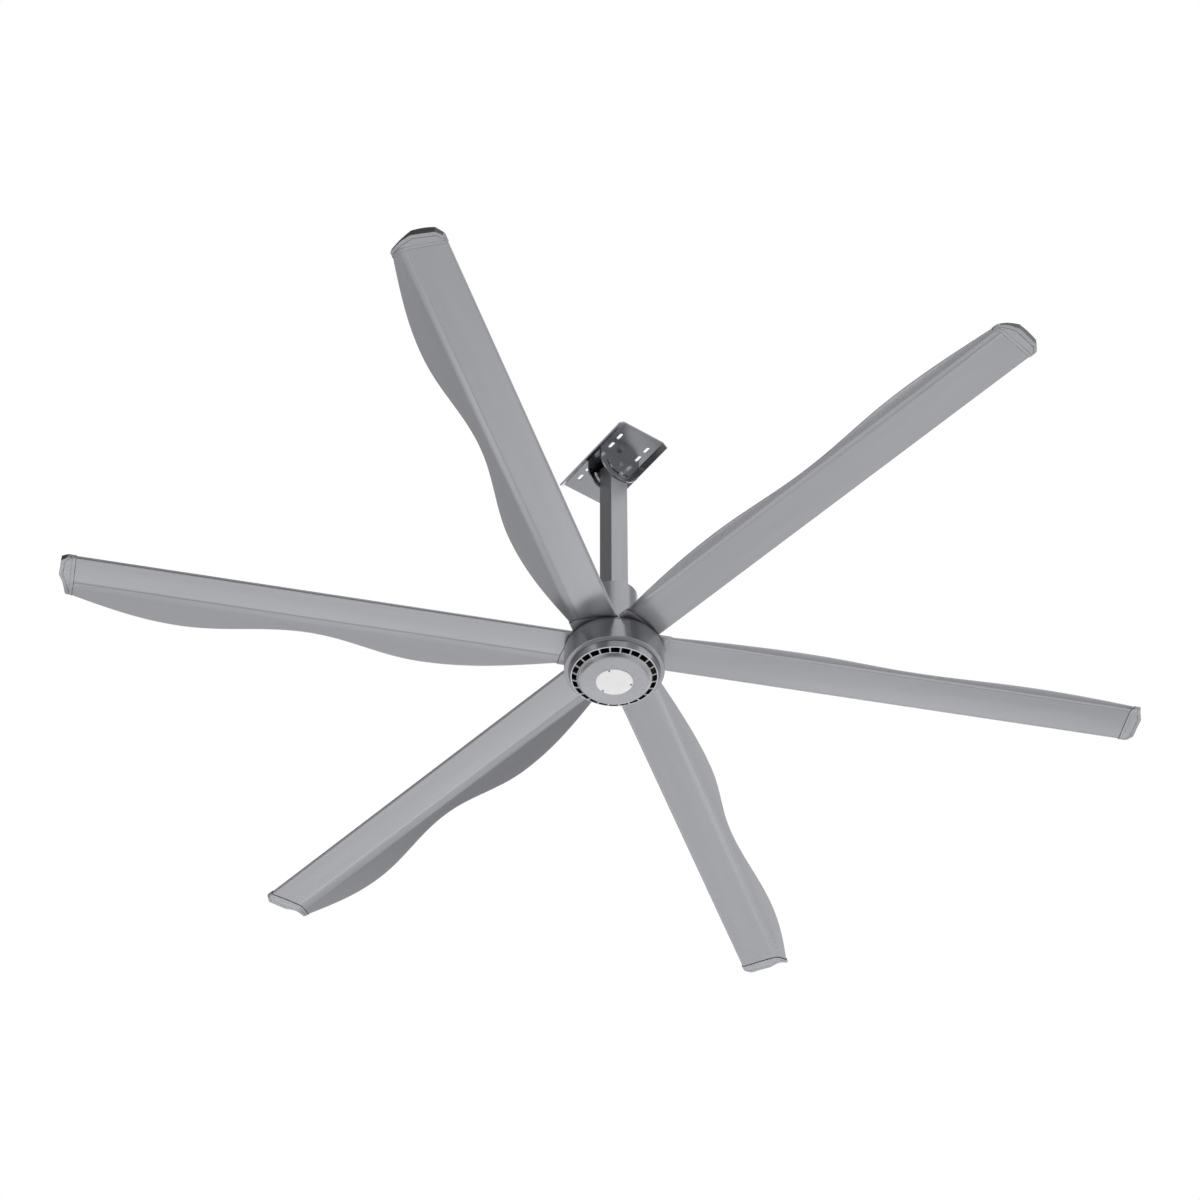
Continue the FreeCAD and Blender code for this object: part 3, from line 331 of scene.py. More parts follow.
magnet_black = finish("magnet_black", grey(0.02), grey(0.03), 0.20, (0.45, 0.60), 50, (600, 0.00004))
print("finishes:", ", ".join(m.name for m in bpy.data.materials if m.use_nodes and m.users == 0))

# %% [markdown]
# # From a shape to a piece
# Each shape is drawn with bmesh, in millimetres as on a maker's sheet, and turned into metres when it
# becomes a mesh. One helper ends every shape the same way: doubles are merged, the faces are turned
# outwards, edges over 35 degrees stay crisp, and Weighted Normal keeps big flat faces flat beside their
# small rounded edges. The evaluated object is then copied into a plain mesh with no modifier left.

# %% Shape helpers
MM = 0.001
WELD_MM = 0.01
CRISP = math.radians(35)


def plain_mesh(draft):
    """The evaluated mesh of a draft object; the draft itself is removed."""
    bpy.context.view_layer.update()
    graph = bpy.context.evaluated_depsgraph_get()
    mesh = bpy.data.meshes.new_from_object(draft.evaluated_get(graph))
    bpy.data.objects.remove(draft)
    return mesh


def piece(name, shape, coat, *trees):
    """Makes an object of a bmesh in millimetres; trees are node trees with their inputs."""
    bmesh.ops.remove_doubles(shape, verts=shape.verts, dist=WELD_MM)
    bmesh.ops.recalc_face_normals(shape, faces=shape.faces)
    bmesh.ops.scale(shape, vec=(MM, MM, MM), verts=shape.verts)
    mesh = bpy.data.meshes.new(name)
    shape.to_mesh(mesh)
    shape.free()
    mesh.materials.append(coat)
    mesh.shade_smooth()
    mesh.set_sharp_from_angle(angle=CRISP)
    draft = shown(f"{name}_draft", mesh)
    for tree, values in trees:
        tree.put_on(draft, values)
    draft.modifiers.new("even_shading", "WEIGHTED_NORMAL").keep_sharp = True
    plain = plain_mesh(draft)
    plain.name = name
    return shown(name, plain)


def settle(made, body, slot, *stands_for):
    """Lets a piece ride on a body and stand for solids of the frame; slot is not used."""
    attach(made, body)
    if stands_for:
        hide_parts(*stands_for)
    print(f"{made.name}: {len(made.data.polygons)} faces on {body}")


# %% Outlines: arcs and rounded corners
LEG_SHARE = 0.45


def turned(angle, radius, centre=(0, 0)):
    """The point of a circle at an angle in degrees."""
    a = math.radians(angle)
    return Vector((centre[0] + radius * math.cos(a), centre[1] + radius * math.sin(a)))


def sweep(start, end, steps):
    """Evenly spaced numbers from start to end, both included."""
    return [start + (end - start) * i / steps for i in range(steps + 1)]


def bent(start, corner, end, steps):
    """Points of a soft bend that touches both legs of a corner."""
    return [start * (1 - t) ** 2 + corner * 2 * t * (1 - t) + end * t * t for t in sweep(0, 1, steps)]


def rounded(corners, radius, steps=4):
    """A closed outline with its corners rounded; radius is one number, or one for each corner."""
    points = [Vector(c) for c in corners]
    radii = radius if isinstance(radius, (list, tuple)) else [radius] * len(points)
    out = []
    for i, here in enumerate(points):
        back = points[i - 1] - here
        ahead = points[(i + 1) % len(points)] - here
        cut = 0
        if radii[i] > 0:
            leg = LEG_SHARE * min(back.length, ahead.length)
            cut = min(radii[i] / math.tan(back.angle(ahead) / 2), leg)
        if cut < WELD_MM:
            out.append(here)
            continue
        out += bent(here + back.normalized() * cut, here, here + ahead.normalized() * cut, steps)
    return out


print("a rounded rectangle:", len(rounded(rectangle(20, 10), 3)), "points")

# %% Solids: lofted and turned on a lathe
def bridge(shape, rings):
    """Joins closed rings of equally many points with faces."""
    for ring, following in zip(rings, rings[1:]):
        for j in range(len(ring)):
            k = (j + 1) % len(ring)
            shape.faces.new((ring[j], following[j], following[k], ring[k]))


def loft(shape, rings):
    """Joins rings to a solid with a face at both ends."""
    bridge(shape, rings)
    for end in (rings[0], rings[-1]):
        shape.faces.new(end)


def bridge_round(shape, rings):
    """Joins rings one after the other, and the last one to the first."""
    bridge(shape, rings + rings[:1])


def add_lathe(shape, profile, steps, place=Matrix()):
    """Spins a closed (radius, height) outline about Z; a radius may be a rule of the angle."""
    rings = []
    for i in range(steps):
        degrees = 360 * i / steps
        ring = []
        for radius, height in profile:
            point = turned(degrees, radius(degrees) if callable(radius) else radius)
            ring.append(shape.verts.new(place @ Vector((point.x, point.y, height))))
        rings.append(ring)
    bridge_round(shape, rings)


def turned_piece(name, profiles, steps, coat, body, slot, *stands_for):
    """A piece made of one or more profiles on the lathe."""
    shape = bmesh.new()
    for profile in profiles:
        add_lathe(shape, profile, steps)
    settle(piece(name, shape, coat), body, slot, *stands_for)


print("a turned piece needs a profile, a finish, a body and a slot")

# %% Hexagons
HEX_STEPS = 12
HEX_FLAT = 0.95
HEX_CHAMFER = math.tan(math.radians(30))


def hexagon_reach(degrees, across):
    """The distance from the axis to the edge of a hexagon at an angle."""
    return across / 2 / math.cos(math.radians((degrees + 30) % 60 - 30))


def add_hexagon(shape, across, start, end, place, hole=0.0, both=False):
    """A hexagon along Z with its top corners turned off; both turns off the bottom ones too."""
    flat = HEX_FLAT * across / 2

    def circle(radius, height):
        points = [turned(60 * i / HEX_STEPS, radius) for i in range(6 * HEX_STEPS)]
        return [shape.verts.new(place @ Vector((p.x, p.y, height))) for p in points]

    def six_sides(height, chamfer):
        points = []
        for i in range(6 * HEX_STEPS):
            degrees = 60 * i / HEX_STEPS
            reach = hexagon_reach(degrees, across)
            point = turned(degrees, reach)
            up = height + max(0.0, reach - flat) * chamfer
            points.append(shape.verts.new(place @ Vector((point.x, point.y, up))))
        return points

    rings = [circle(hole, start)]
    if both:
        rings.append(circle(flat, start))
    rings.append(six_sides(start, HEX_CHAMFER if both else 0.0))
    rings += [six_sides(end, -HEX_CHAMFER), circle(flat, end), circle(hole, end)]
    bridge_round(shape, rings)


print("corner of a 16 mm hexagon:", round(hexagon_reach(30, 16.0), 2), "mm from its axis")

# %% [markdown]
# # Sheet metal
# The bracket is cut from 6 mm sheet. A flat 2D curve is a good laser cutter: closed splines inside
# each other become holes, extrude gives the thickness and bevel breaks the edges. The curve is made a
# mesh before anything is bent or placed.

# %% Cut a sheet
SHEET_MM = 6.0
EDGE_MM = 0.6


def add_sheet(shape, outlines, thickness=SHEET_MM, edge=EDGE_MM, place=Matrix()):
    """Cuts a sheet centred on the XY plane: the first outline is its edge, the others are holes."""
    curve = bpy.data.curves.new("cut", "CURVE")
    curve.dimensions = "2D"
    curve.fill_mode = "BOTH"
    curve.extrude = thickness / 2 - edge
    curve.bevel_depth = edge
    curve.bevel_resolution = 1
    curve.offset = -edge
    for outline in outlines:
        spline = curve.splines.new("POLY")
        spline.points.add(len(outline) - 1)
        for spot, (x, y) in zip(spline.points, outline):
            spot.co = (x, y, 0, 1)
        spline.use_cyclic_u = True
    mesh = plain_mesh(shown("cut", curve))
    mesh.transform(place)
    shape.from_mesh(mesh)
    bpy.data.meshes.remove(mesh)


def slot_outline(x, y, length, width):
    """A straight slot with round ends, along X."""
    reach = (length - width) / 2
    return ([turned(a, width / 2, (x + reach, y)) for a in sweep(-90, 90, 10)]
            + [turned(a, width / 2, (x - reach, y)) for a in sweep(90, 270, 10)])


print("sheet:", SHEET_MM, "mm with edges of", EDGE_MM, "mm")

# %% [markdown]
# # Ceiling plate
# A plate with eight slots for the ceiling bolts, both long edges bent down to stiffen it. It could be
# boxes put together, but a real one is cut flat and then bent, so that is done here: the sheet is cut
# with its lips unfolded, extra edge loops are put in where it bends, and the points are rolled round
# the bend.

# %% Ceiling plate
PLATE_LENGTH = 366.0
PLATE_FLAT = 170.0
PLATE_CORNER = 3.0
LIP_RUN, LIP_DROP = 20.0, 17.0
BEND_INNER, BEND_STEPS = 4.0, 5
SLOT_LENGTH, SLOT_WIDTH = 30.0, 13.0
SLOT_COLUMNS = (-120.0, -70.5, 70.5, 120.0)
SLOT_ROWS = (-57.5, 57.5)

lip_angle = math.atan2(LIP_DROP, LIP_RUN)
bend_outer = BEND_INNER + SHEET_MM
bend_set = bend_outer * math.tan(lip_angle / 2)
bend_start = PLATE_FLAT / 2 - bend_set
bend_length = bend_outer * lip_angle
half_cut = bend_start + bend_length + math.hypot(LIP_RUN, LIP_DROP) - bend_set


def bend_down(point):
    """Rolls a point of the flat sheet round the bend line of its side."""
    side = math.copysign(1, point.y)
    past = abs(point.y) - bend_start
    if past <= 0:
        return point
    angle = min(past / bend_outer, lip_angle)
    straight = max(0.0, past - bend_length)
    reach = bend_outer + point.z
    along = bend_start + reach * math.sin(angle) + straight * math.cos(angle)
    height = reach * math.cos(angle) - bend_outer - straight * math.sin(angle)
    return Vector((point.x, side * along, height))


plate = bmesh.new()
plate_edge = rounded(rectangle(PLATE_LENGTH / 2, half_cut), PLATE_CORNER)
slots = [slot_outline(x, y, SLOT_LENGTH, SLOT_WIDTH) for x in SLOT_COLUMNS for y in SLOT_ROWS]
add_sheet(plate, [plate_edge] + slots, place=Matrix.Translation((0, 0, -SHEET_MM / 2)))
for side in (-1, 1):
    for past in sweep(0, bend_length, BEND_STEPS):
        bmesh.ops.bisect_plane(plate, geom=plate.verts[:] + plate.edges[:] + plate.faces[:],
                               plane_co=(0, side * (bend_start + past), 0), plane_no=(0, 1, 0))
for corner in plate.verts:
    corner.co = bend_down(corner.co)
ceiling_plate = piece("bent_plate", plate, bracket_coat)
settle(ceiling_plate, "bracket", "painted_steel", "ceiling_plate")

# %% [markdown]
# # Bracket ears
# Two round-bottomed ears hang from the plate. Each has a pivot hole and, on an arc round it, the slot
# in which the lock bolt slides when the downrod is set upright under a sloping roof. The arc's ends
# are the ends of that tilt.

# %% Bracket ears
EAR_RADIUS, EAR_BEND_Z = 82.0, -38.0
EAR_INNER = 35.5
PIVOT_Z, PIVOT_HOLE = -44.0, 5.5
LOCK_RADIUS, LOCK_HALF = 51.0, 6.5
TILT_BACK, TILT_FRONT, DOWN = -77.0, 33.0, -90.0
END_SKIP = 18


def arc_slot():
    """The curved slot round the pivot: two arcs, and a round end at each limit of the tilt."""
    centre = (0, PIVOT_Z)
    back, front = TILT_BACK + DOWN, TILT_FRONT + DOWN

    def arc(radius, start, end):
        return [turned(a, radius, centre) for a in sweep(start, end, 30)]

    def round_end(at, start):
        middle = turned(at, LOCK_RADIUS, centre)
        turns = sweep(start + END_SKIP, start + 180 - END_SKIP, 8)
        return [turned(at + a, LOCK_HALF, middle) for a in turns]

    return (arc(LOCK_RADIUS + LOCK_HALF, back, front) + round_end(front, 0)
            + arc(LOCK_RADIUS - LOCK_HALF, front, back) + round_end(back, 180))


ear_edge = ([(EAR_RADIUS, -SHEET_MM), (-EAR_RADIUS, -SHEET_MM)]
            + [turned(a, EAR_RADIUS, (0, EAR_BEND_Z)) for a in sweep(180, 360, 48)])
pivot_hole = [turned(a, PIVOT_HOLE, (0, PIVOT_Z)) for a in sweep(0, 345, 23)]
for side, name in ((1, "right"), (-1, "left")):
    middle = side * (EAR_INNER + SHEET_MM / 2)
    stand_up = Matrix(((0, 0, 1, middle), (1, 0, 0, 0), (0, 1, 0, 0), (0, 0, 0, 1)))
    ear = bmesh.new()
    add_sheet(ear, [ear_edge, arc_slot(), pivot_hole], place=stand_up)
    cut_ear = piece(f"cut_ear_{name}", ear, bracket_coat)
    settle(cut_ear, "bracket", "painted_steel", f"bracket_ear_{name}")

# %% [markdown]
# # The two bracket bolts
# The pivot bolt and the lock bolt are M10 hex bolts with a washer under the head and under the nut.
# A hexagon with its corners turned off at 30 degrees shows the curved edges of a real head, and a
# zigzag profile on the lathe gives the thread that stands out of the nut.

# %% Bracket bolts
BOLT_ACROSS = 16.0
BOLT_RADIUS, BOLT_HOLE = 5.0, 5.1
HEAD_HEIGHT, NUT_HEIGHT = 6.4, 8.4
WASHER_RADIUS, WASHER_MM = 9.0, 1.6
THREAD_PITCH, THREAD_DEPTH = 1.5, 0.65
BOLT_END, BOLT_TIP = 4.0, 0.3
SLIDING_GAP = 0.3
ALONG_X = Matrix.Rotation(math.radians(90), 4, "Y")


def bolt_rod(start, end, thread_end):
    """The profile of a bolt's rod along Z, threaded from its start up to thread_end."""
    tip = THREAD_DEPTH + BOLT_TIP
    profile = [(0, start), (BOLT_RADIUS - tip, start)]
    height = start + tip
    while height + THREAD_PITCH < thread_end:
        profile += [(BOLT_RADIUS, height), (BOLT_RADIUS - THREAD_DEPTH, height + THREAD_PITCH / 2)]
        height += THREAD_PITCH
    return profile + [(BOLT_RADIUS, height), (BOLT_RADIUS, end), (0, end)]


def cross_bolt(name, height, gap, body):
    """A bolt across the bracket at a height, with its two washers and its nut."""
    outer = EAR_INNER + SHEET_MM + gap
    seat = outer + WASHER_MM
    place = Matrix.Translation((0, 0, height)) @ ALONG_X
    bolt = bmesh.new()
    add_hexagon(bolt, BOLT_ACROSS, seat, seat + HEAD_HEIGHT, place)
    nut_end = -seat - NUT_HEIGHT
    add_lathe(bolt, bolt_rod(nut_end - BOLT_END, seat, nut_end + THREAD_PITCH), 32, place)
    settle(piece(f"{name}_hex_bolt", bolt, zinc), body, "zinc_steel", f"{name}_bolt")
    washers = bmesh.new()
    for start in (outer, -seat):
        top = start + WASHER_MM
        disc = [(BOLT_HOLE, start), (WASHER_RADIUS, start), (WASHER_RADIUS, top), (BOLT_HOLE, top)]
        add_lathe(washers, rounded(disc, [0.1, 0.5, 0.5, 0.1], 2), 48, place)
    settle(piece(f"{name}_flat_washers", washers, zinc), body, "zinc_steel", f"{name}_washers")
    nut = bmesh.new()
    add_hexagon(nut, BOLT_ACROSS, nut_end, -seat, place, hole=BOLT_HOLE, both=True)
    settle(piece(f"{name}_hex_nut", nut, zinc), body, "zinc_steel", f"{name}_nut")


cross_bolt("pivot", PIVOT_Z, 0.0, "bracket")
cross_bolt("lock", PIVOT_Z - LOCK_RADIUS, SLIDING_GAP, "hanger")

# %% [markdown]
# # Downrod
# A square steel tube with rounded corners. It is one outline with a hole in it, extruded: the sheet
# cutter of the bracket does that too, with a very thick sheet.

# %% Downrod
TUBE_SIDE, TUBE_WALL, TUBE_CORNER, TUBE_EDGE = 70.0, 4.0, 3.0, 0.3
TUBE_TOP, TUBE_BOTTOM = -31.0, -858.0


def square(side, corner):
    return rounded(rectangle(side / 2, side / 2), corner, 6)


tube = bmesh.new()
add_sheet(tube, [square(TUBE_SIDE, TUBE_CORNER), square(TUBE_SIDE - 2 * TUBE_WALL, TUBE_CORNER / 2)],
          thickness=TUBE_TOP - TUBE_BOTTOM, edge=TUBE_EDGE,
          place=Matrix.Translation((0, 0, (TUBE_TOP + TUBE_BOTTOM) / 2)))
settle(piece("square_tube", tube, tube_coat), "hanger", "painted_steel", "downrod")

# %% [markdown]
# # Collar
# A round can that covers the tube's foot and the motor's flange bolts. It is turned on a lathe, but
# its opening is square, so the innermost radius of the profile is a rule of the angle: the distance
# from the axis to a square.

# %% Collar
HUB_Z = -918.0
COLLAR_RADIUS, COLLAR_WALL, COLLAR_LID = 80.0, 3.0, 60.0
COLLAR_TOP, COLLAR_BOTTOM = HUB_Z + 250.0, HUB_Z + 36.0
COLLAR_OPENING, COLLAR_STEPS = 35.4, 96


def square_reach(degrees):
    """The distance from the axis to the edge of the square opening at an angle."""
    a = math.radians(degrees)
    return COLLAR_OPENING / max(abs(math.cos(a)), abs(math.sin(a)))


collar_inner = COLLAR_RADIUS - COLLAR_WALL
collar_ceiling = COLLAR_TOP - COLLAR_WALL
can = rounded([(COLLAR_LID, collar_ceiling), (collar_inner, collar_ceiling),
               (collar_inner, COLLAR_BOTTOM), (COLLAR_RADIUS, COLLAR_BOTTOM),
               (COLLAR_RADIUS, COLLAR_TOP), (COLLAR_LID, COLLAR_TOP)], [0, 1, 0.6, 1, 2.5, 0])
opening = [(square_reach, COLLAR_TOP), (square_reach, collar_ceiling)]
turned_piece("round_collar", [[tuple(p) for p in can] + opening], COLLAR_STEPS, casting_paint,
             "hanger", "motor_casting", "motor_collar")

# %% [markdown]
# # What repeats: a ring and a row
# The fan repeats itself about its axis: six blades, cuffs and caps, 24 ribs between the vents, rings
# of screws. Copies could be made one by one in a loop; a Geometry Nodes tree says it once, with the
# count and the angle as named inputs. The small class below only saves typing: it makes a tree, adds
# its nodes, joins their sockets, and sets the inputs of a modifier by the sockets' identifiers.

# %% A helper to write node trees
class Tree:
    """A Geometry Nodes tree that takes a mesh and ends in Realize Instances and Set Material."""

    def __init__(self, name):
        self.group = bpy.data.node_groups.new(name, "GeometryNodeTree")
        sockets = self.group.interface
        sockets.new_socket("Geometry", in_out="INPUT", socket_type="NodeSocketGeometry")
        sockets.new_socket("Geometry", in_out="OUTPUT", socket_type="NodeSocketGeometry")
        sockets.new_socket("Material", in_out="INPUT", socket_type="NodeSocketMaterial")
        self.start = self.group.nodes.new("NodeGroupInput")

    def ask(self, name, kind="NodeSocketFloat"):
        """A named input of the tree."""
        self.group.interface.new_socket(name, in_out="INPUT", socket_type=kind)
        return self.start.outputs[name]

    def add(self, kind, inputs=None, **settings):
        return add_node(self.group, kind, inputs, **settings)

    def math(self, operation, *values):
        return self.add("ShaderNodeMath", dict(enumerate(values)), operation=operation)

    def end(self, geometry):
        """Makes the instances real, puts the finish on and hands out the result."""
        real = self.add("GeometryNodeRealizeInstances", {"Geometry": geometry})
        coat = self.start.outputs["Material"]
        coated = self.add("GeometryNodeSetMaterial", {"Geometry": real, "Material": coat})
        self.add("NodeGroupOutput", {"Geometry": coated})

    def put_on(self, made, values):
        """Adds the tree to an object and sets its inputs by their identifiers."""
        modifier = made.modifiers.new(self.group.name, "NODES")
        modifier.node_group = self.group
        for item in self.group.interface.items_tree:
            if item.in_out == "INPUT" and item.name in values:
                modifier[item.identifier] = values[item.name]


print("a tree can", ", ".join(name for name in vars(Tree) if not name.startswith("_")))

# %% The ring and the row
ring_tree = Tree("ring_about_axis")
count = ring_tree.ask("Count", "NodeSocketInt")
first = ring_tree.ask("First angle")
spots = ring_tree.add("GeometryNodePoints", {"Count": count})
step = ring_tree.math("DIVIDE", 2 * math.pi, count)
angle = ring_tree.math("MULTIPLY_ADD", ring_tree.add("GeometryNodeInputIndex"), step, first)
turn = ring_tree.add("ShaderNodeCombineXYZ", {"Z": angle})
ring_tree.end(ring_tree.add("GeometryNodeInstanceOnPoints", {
    "Points": spots, "Instance": ring_tree.start.outputs["Geometry"],
    "Rotation": ring_tree.add("FunctionNodeEulerToRotation", {"Euler": turn})}))

row_tree = Tree("row_along_span")
count = row_tree.ask("Count", "NodeSocketInt")
pitch = row_tree.ask("Pitch", "NodeSocketVector")
index = row_tree.add("GeometryNodeInputIndex")
places = row_tree.add("ShaderNodeVectorMath", {0: pitch, "Scale": index}, operation="SCALE")
spots = row_tree.add("GeometryNodePoints", {"Count": count, "Position": places})
row_tree.end(row_tree.add("GeometryNodeInstanceOnPoints", {
    "Points": spots, "Instance": row_tree.start.outputs["Geometry"]}))


def ring(number, degrees, coat):
    """The ring tree with its inputs: how many, from which angle, in which finish."""
    return ring_tree, {"Count": number, "First angle": math.radians(degrees), "Material": coat}


def row(number, metres, coat):
    """The row tree with its inputs: how many, which step from one to the next, in which finish."""
    return row_tree, {"Count": number, "Pitch": metres, "Material": coat}


print("trees:", ", ".join(g.name for g in bpy.data.node_groups))

# %% [markdown]
# # Motor drum
# The motor's outer rotor turns with the blades. Seen from below it is a plain round wall with softly
# broken edges and one fine groove under its top rim, where the lid is pressed in. One closed profile on
# the lathe makes the wall and the lid, inside and out.

# %% Motor drum
ROUND_STEPS = 180
DRUM_RADIUS, DRUM_WALL, DRUM_LID = 166.6, 5.0, 8.0
DRUM_TOP, DRUM_BOTTOM = HUB_Z - 7.8, HUB_Z - 93.4
SHAFT_HOLE = 30.0
GROOVE_DROP, GROOVE_WIDTH, GROOVE_DEPTH = 4.0, 2.2, 2.0

drum_inner = DRUM_RADIUS - DRUM_WALL
groove_top = DRUM_TOP - GROOVE_DROP
drum_profile = rounded([
    (SHAFT_HOLE, DRUM_TOP - DRUM_LID), (drum_inner, DRUM_TOP - DRUM_LID), (drum_inner, DRUM_BOTTOM),
    (DRUM_RADIUS, DRUM_BOTTOM), (DRUM_RADIUS, groove_top - GROOVE_WIDTH),
    (DRUM_RADIUS - GROOVE_DEPTH, groove_top - GROOVE_WIDTH), (DRUM_RADIUS - GROOVE_DEPTH, groove_top),
    (DRUM_RADIUS, groove_top), (DRUM_RADIUS, DRUM_TOP), (SHAFT_HOLE, DRUM_TOP)],
    [0, 2, 0, 2, 0.4, 0.2, 0.2, 0.4, 2, 0.5])
turned_piece("turned_drum", [drum_profile], ROUND_STEPS, casting_paint,
             "rotor", "motor_casting", "motor_drum")

# %% [markdown]
# # Lower bell and its vents
# Under the drum sits a bell with 24 vents, which lie on a cone from its rim inwards and down. The wall
# with the rim, and the floor with its foot ring inside the vents, are turned profiles; the ribs between
# the vents are one small bar that the ring tree repeats 24 times.

# %% Lower bell
LIP_RADIUS, LIP_Z = 153.8, DRUM_BOTTOM - 2.2
RIM_RADIUS, RIM_Z = 143.8, HUB_Z - 119.0
BELL_PLATE = 6.0
VENT_OUTER, VENT_INNER = 141.0, 124.0
VENT_COUNT, VENT_DEGREES, VENT_TURN = 24, 12.4, 10.69
FOOT_INNER, FOOT_Z = 118.0, RIM_Z - 7.5
RIB_MM, RIB_SUNK = 4.0, 0.6
EDGE_PROUD, EDGE_THICK = 0.15, 1.6


def cone_height(radius):
    """The height of the cone of vents at a radius."""
    return RIM_Z + (FOOT_Z - RIM_Z) * (RIM_RADIUS - radius) / (RIM_RADIUS - VENT_INNER)


bell_profile = rounded([
    (DRUM_RADIUS - 1.5, DRUM_BOTTOM - 0.1), (DRUM_RADIUS - 1.5, DRUM_BOTTOM - 1.3),
    (LIP_RADIUS + 1.0, DRUM_BOTTOM - 1.3), (LIP_RADIUS + 0.6, LIP_Z), (LIP_RADIUS - 1.6, LIP_Z),
    (LIP_RADIUS - 2.4, DRUM_BOTTOM - 0.6), (RIM_RADIUS + 0.8, RIM_Z + 0.6), (RIM_RADIUS, RIM_Z),
    (VENT_OUTER, cone_height(VENT_OUTER)), (VENT_OUTER, RIM_Z + RIB_MM),
    (LIP_RADIUS - 8, DRUM_BOTTOM - 1)],
    [0.2, 0.5, 0.5, 0.8, 0.8, 0.8, 1.2, 1.2, 0.6, 0.3, 0.5], 3)
bell_floor = rounded([
    (SHAFT_HOLE, RIM_Z), (FOOT_INNER, RIM_Z), (FOOT_INNER, FOOT_Z), (VENT_INNER, FOOT_Z),
    (VENT_INNER, FOOT_Z + RIB_MM), (FOOT_INNER, RIM_Z + BELL_PLATE), (SHAFT_HOLE, RIM_Z + BELL_PLATE)],
    [0, 1, 0.3, 0.6, 0.6, 2, 0])
turned_piece("turned_bell", [bell_profile, bell_floor], ROUND_STEPS, casting_paint,
             "rotor", "motor_casting", "vent_bell")

# %% Painted highlight on the vents' edges
# Thin lighter strips over the vents' inner and outer edges are a painted highlight.
highlight_profiles = []
for inner, outer in ((VENT_INNER - 2.0, VENT_INNER + 0.3), (VENT_OUTER - 0.3, RIM_RADIUS + 0.4)):
    low, high = (min(cone_height(radius), RIM_Z) - EDGE_PROUD for radius in (inner, outer))
    strip = [(inner, low), (outer, high), (outer, high + EDGE_THICK), (inner, low + EDGE_THICK)]
    highlight_profiles.append(rounded(strip, [0.4, 0.4, 0.1, 0.1], 3))
turned_piece("vent_edge_highlights", highlight_profiles, ROUND_STEPS, painted_highlight, "rotor", "motor_casting")

# %% Ribs between the vents
rib_half = (360 / VENT_COUNT - VENT_DEGREES) / 2
rib_section = rounded([(-1, 0), (1, 0), (1, RIB_MM), (-1, RIB_MM)], [0.9, 0.9, 0.2, 0.2], 3)
rib = bmesh.new()
rib_rings = []
for radius in (VENT_INNER - RIB_SUNK, VENT_OUTER + RIB_SUNK):
    wide, base = radius * math.radians(rib_half), cone_height(radius)
    rib_rings.append([rib.verts.new((radius, p.x * wide, base + p.y)) for p in rib_section])
loft(rib, rib_rings)
ribs = piece("vent_ribs", rib, cover_grey, ring(VENT_COUNT, VENT_TURN + 180 / VENT_COUNT, cover_grey))
settle(ribs, "rotor", "motor_casting")

# %% [markdown]
# # Cover and badge plate
# A shallow moulded cover with a sloped edge, which bulges a little, closes the bell. A thin white disc
# is screwed to its middle, left bare. Both are turned.

# %% Cover and badge plate
COVER_RADIUS, COVER_SLOPE, COVER_WALL = 123.0, 14.0, 2.2
COVER_BULGE, COVER_STEPS = Vector((3.4, -2.4)), 144
COVER_FACE_Z = HUB_Z - 141.6
COVER_TOP = FOOT_Z - 0.1
BADGE_RADIUS, BADGE_MM, BADGE_STEPS = 61.0, 1.5, 128
BADGE_Z = COVER_FACE_Z - BADGE_MM


def cover_edge(wall):
    """The cover's edge from its face to its top, moved inwards by a wall."""
    start = Vector((COVER_RADIUS - COVER_SLOPE, COVER_FACE_Z + wall))
    end = Vector((COVER_RADIUS - wall, COVER_TOP))
    return bent(start, (start + end) / 2 + COVER_BULGE, end, 12)


cover_profile = ([(0, COVER_FACE_Z)] + cover_edge(0) + cover_edge(COVER_WALL)[::-1]
                 + [(0, COVER_FACE_Z + COVER_WALL)])
turned_piece("moulded_cover", [cover_profile], COVER_STEPS, cover_grey,
             "rotor", "moulded_grey", "centre_cover")

badge_profile = rounded([(0, BADGE_Z), (BADGE_RADIUS, BADGE_Z), (BADGE_RADIUS, COVER_FACE_Z),
                         (0, COVER_FACE_Z)], [0, 0.7, 0, 0])
turned_piece("bare_badge", [badge_profile], BADGE_STEPS, badge_white,
             "rotor", "badge_white", "badge_plate")

# %% [markdown]
# # Small screws
# Screws with a domed head and a six-sided socket hold the badge, the collar and the blades. One turned
# profile is enough for all of them: near the axis its radius is that of a hexagon, so the lathe leaves
# the socket in the head.

# %% Small screws
SCREW_STEPS, SOCKET_SHARE = 24, 0.45
UPSIDE_DOWN = Matrix.Rotation(math.pi, 4, "X")


def add_screw(shape, head_radius, head_height, place):
    """A domed screw head along Z, from 0 up to its height, with a hexagonal socket."""
    socket_across = 2 * SOCKET_SHARE * head_radius * math.cos(math.radians(30))

    def wrench(degrees):
        return hexagon_reach(degrees, socket_across)

    dome = [(0, 0), (head_radius, 0), (head_radius, 0.35 * head_height),
            (0.86 * head_radius, 0.8 * head_height), (0.62 * head_radius, head_height),
            (wrench, head_height), (wrench, 0.4 * head_height), (0, 0.4 * head_height)]
    add_lathe(shape, dome, SCREW_STEPS, place)


def screws(kind, head, place, coat, body, *trees):
    """The screws of a kind: one head, given by its radius and height, repeated by the trees."""
    shape = bmesh.new()
    add_screw(shape, *head, place)
    made = piece(f"{kind}_socket_screws", shape, coat, *trees)
    settle(made, body, "zinc_steel", f"{kind}_screws")


print("sockets:", SOCKET_SHARE, "of the head's radius to their corners")

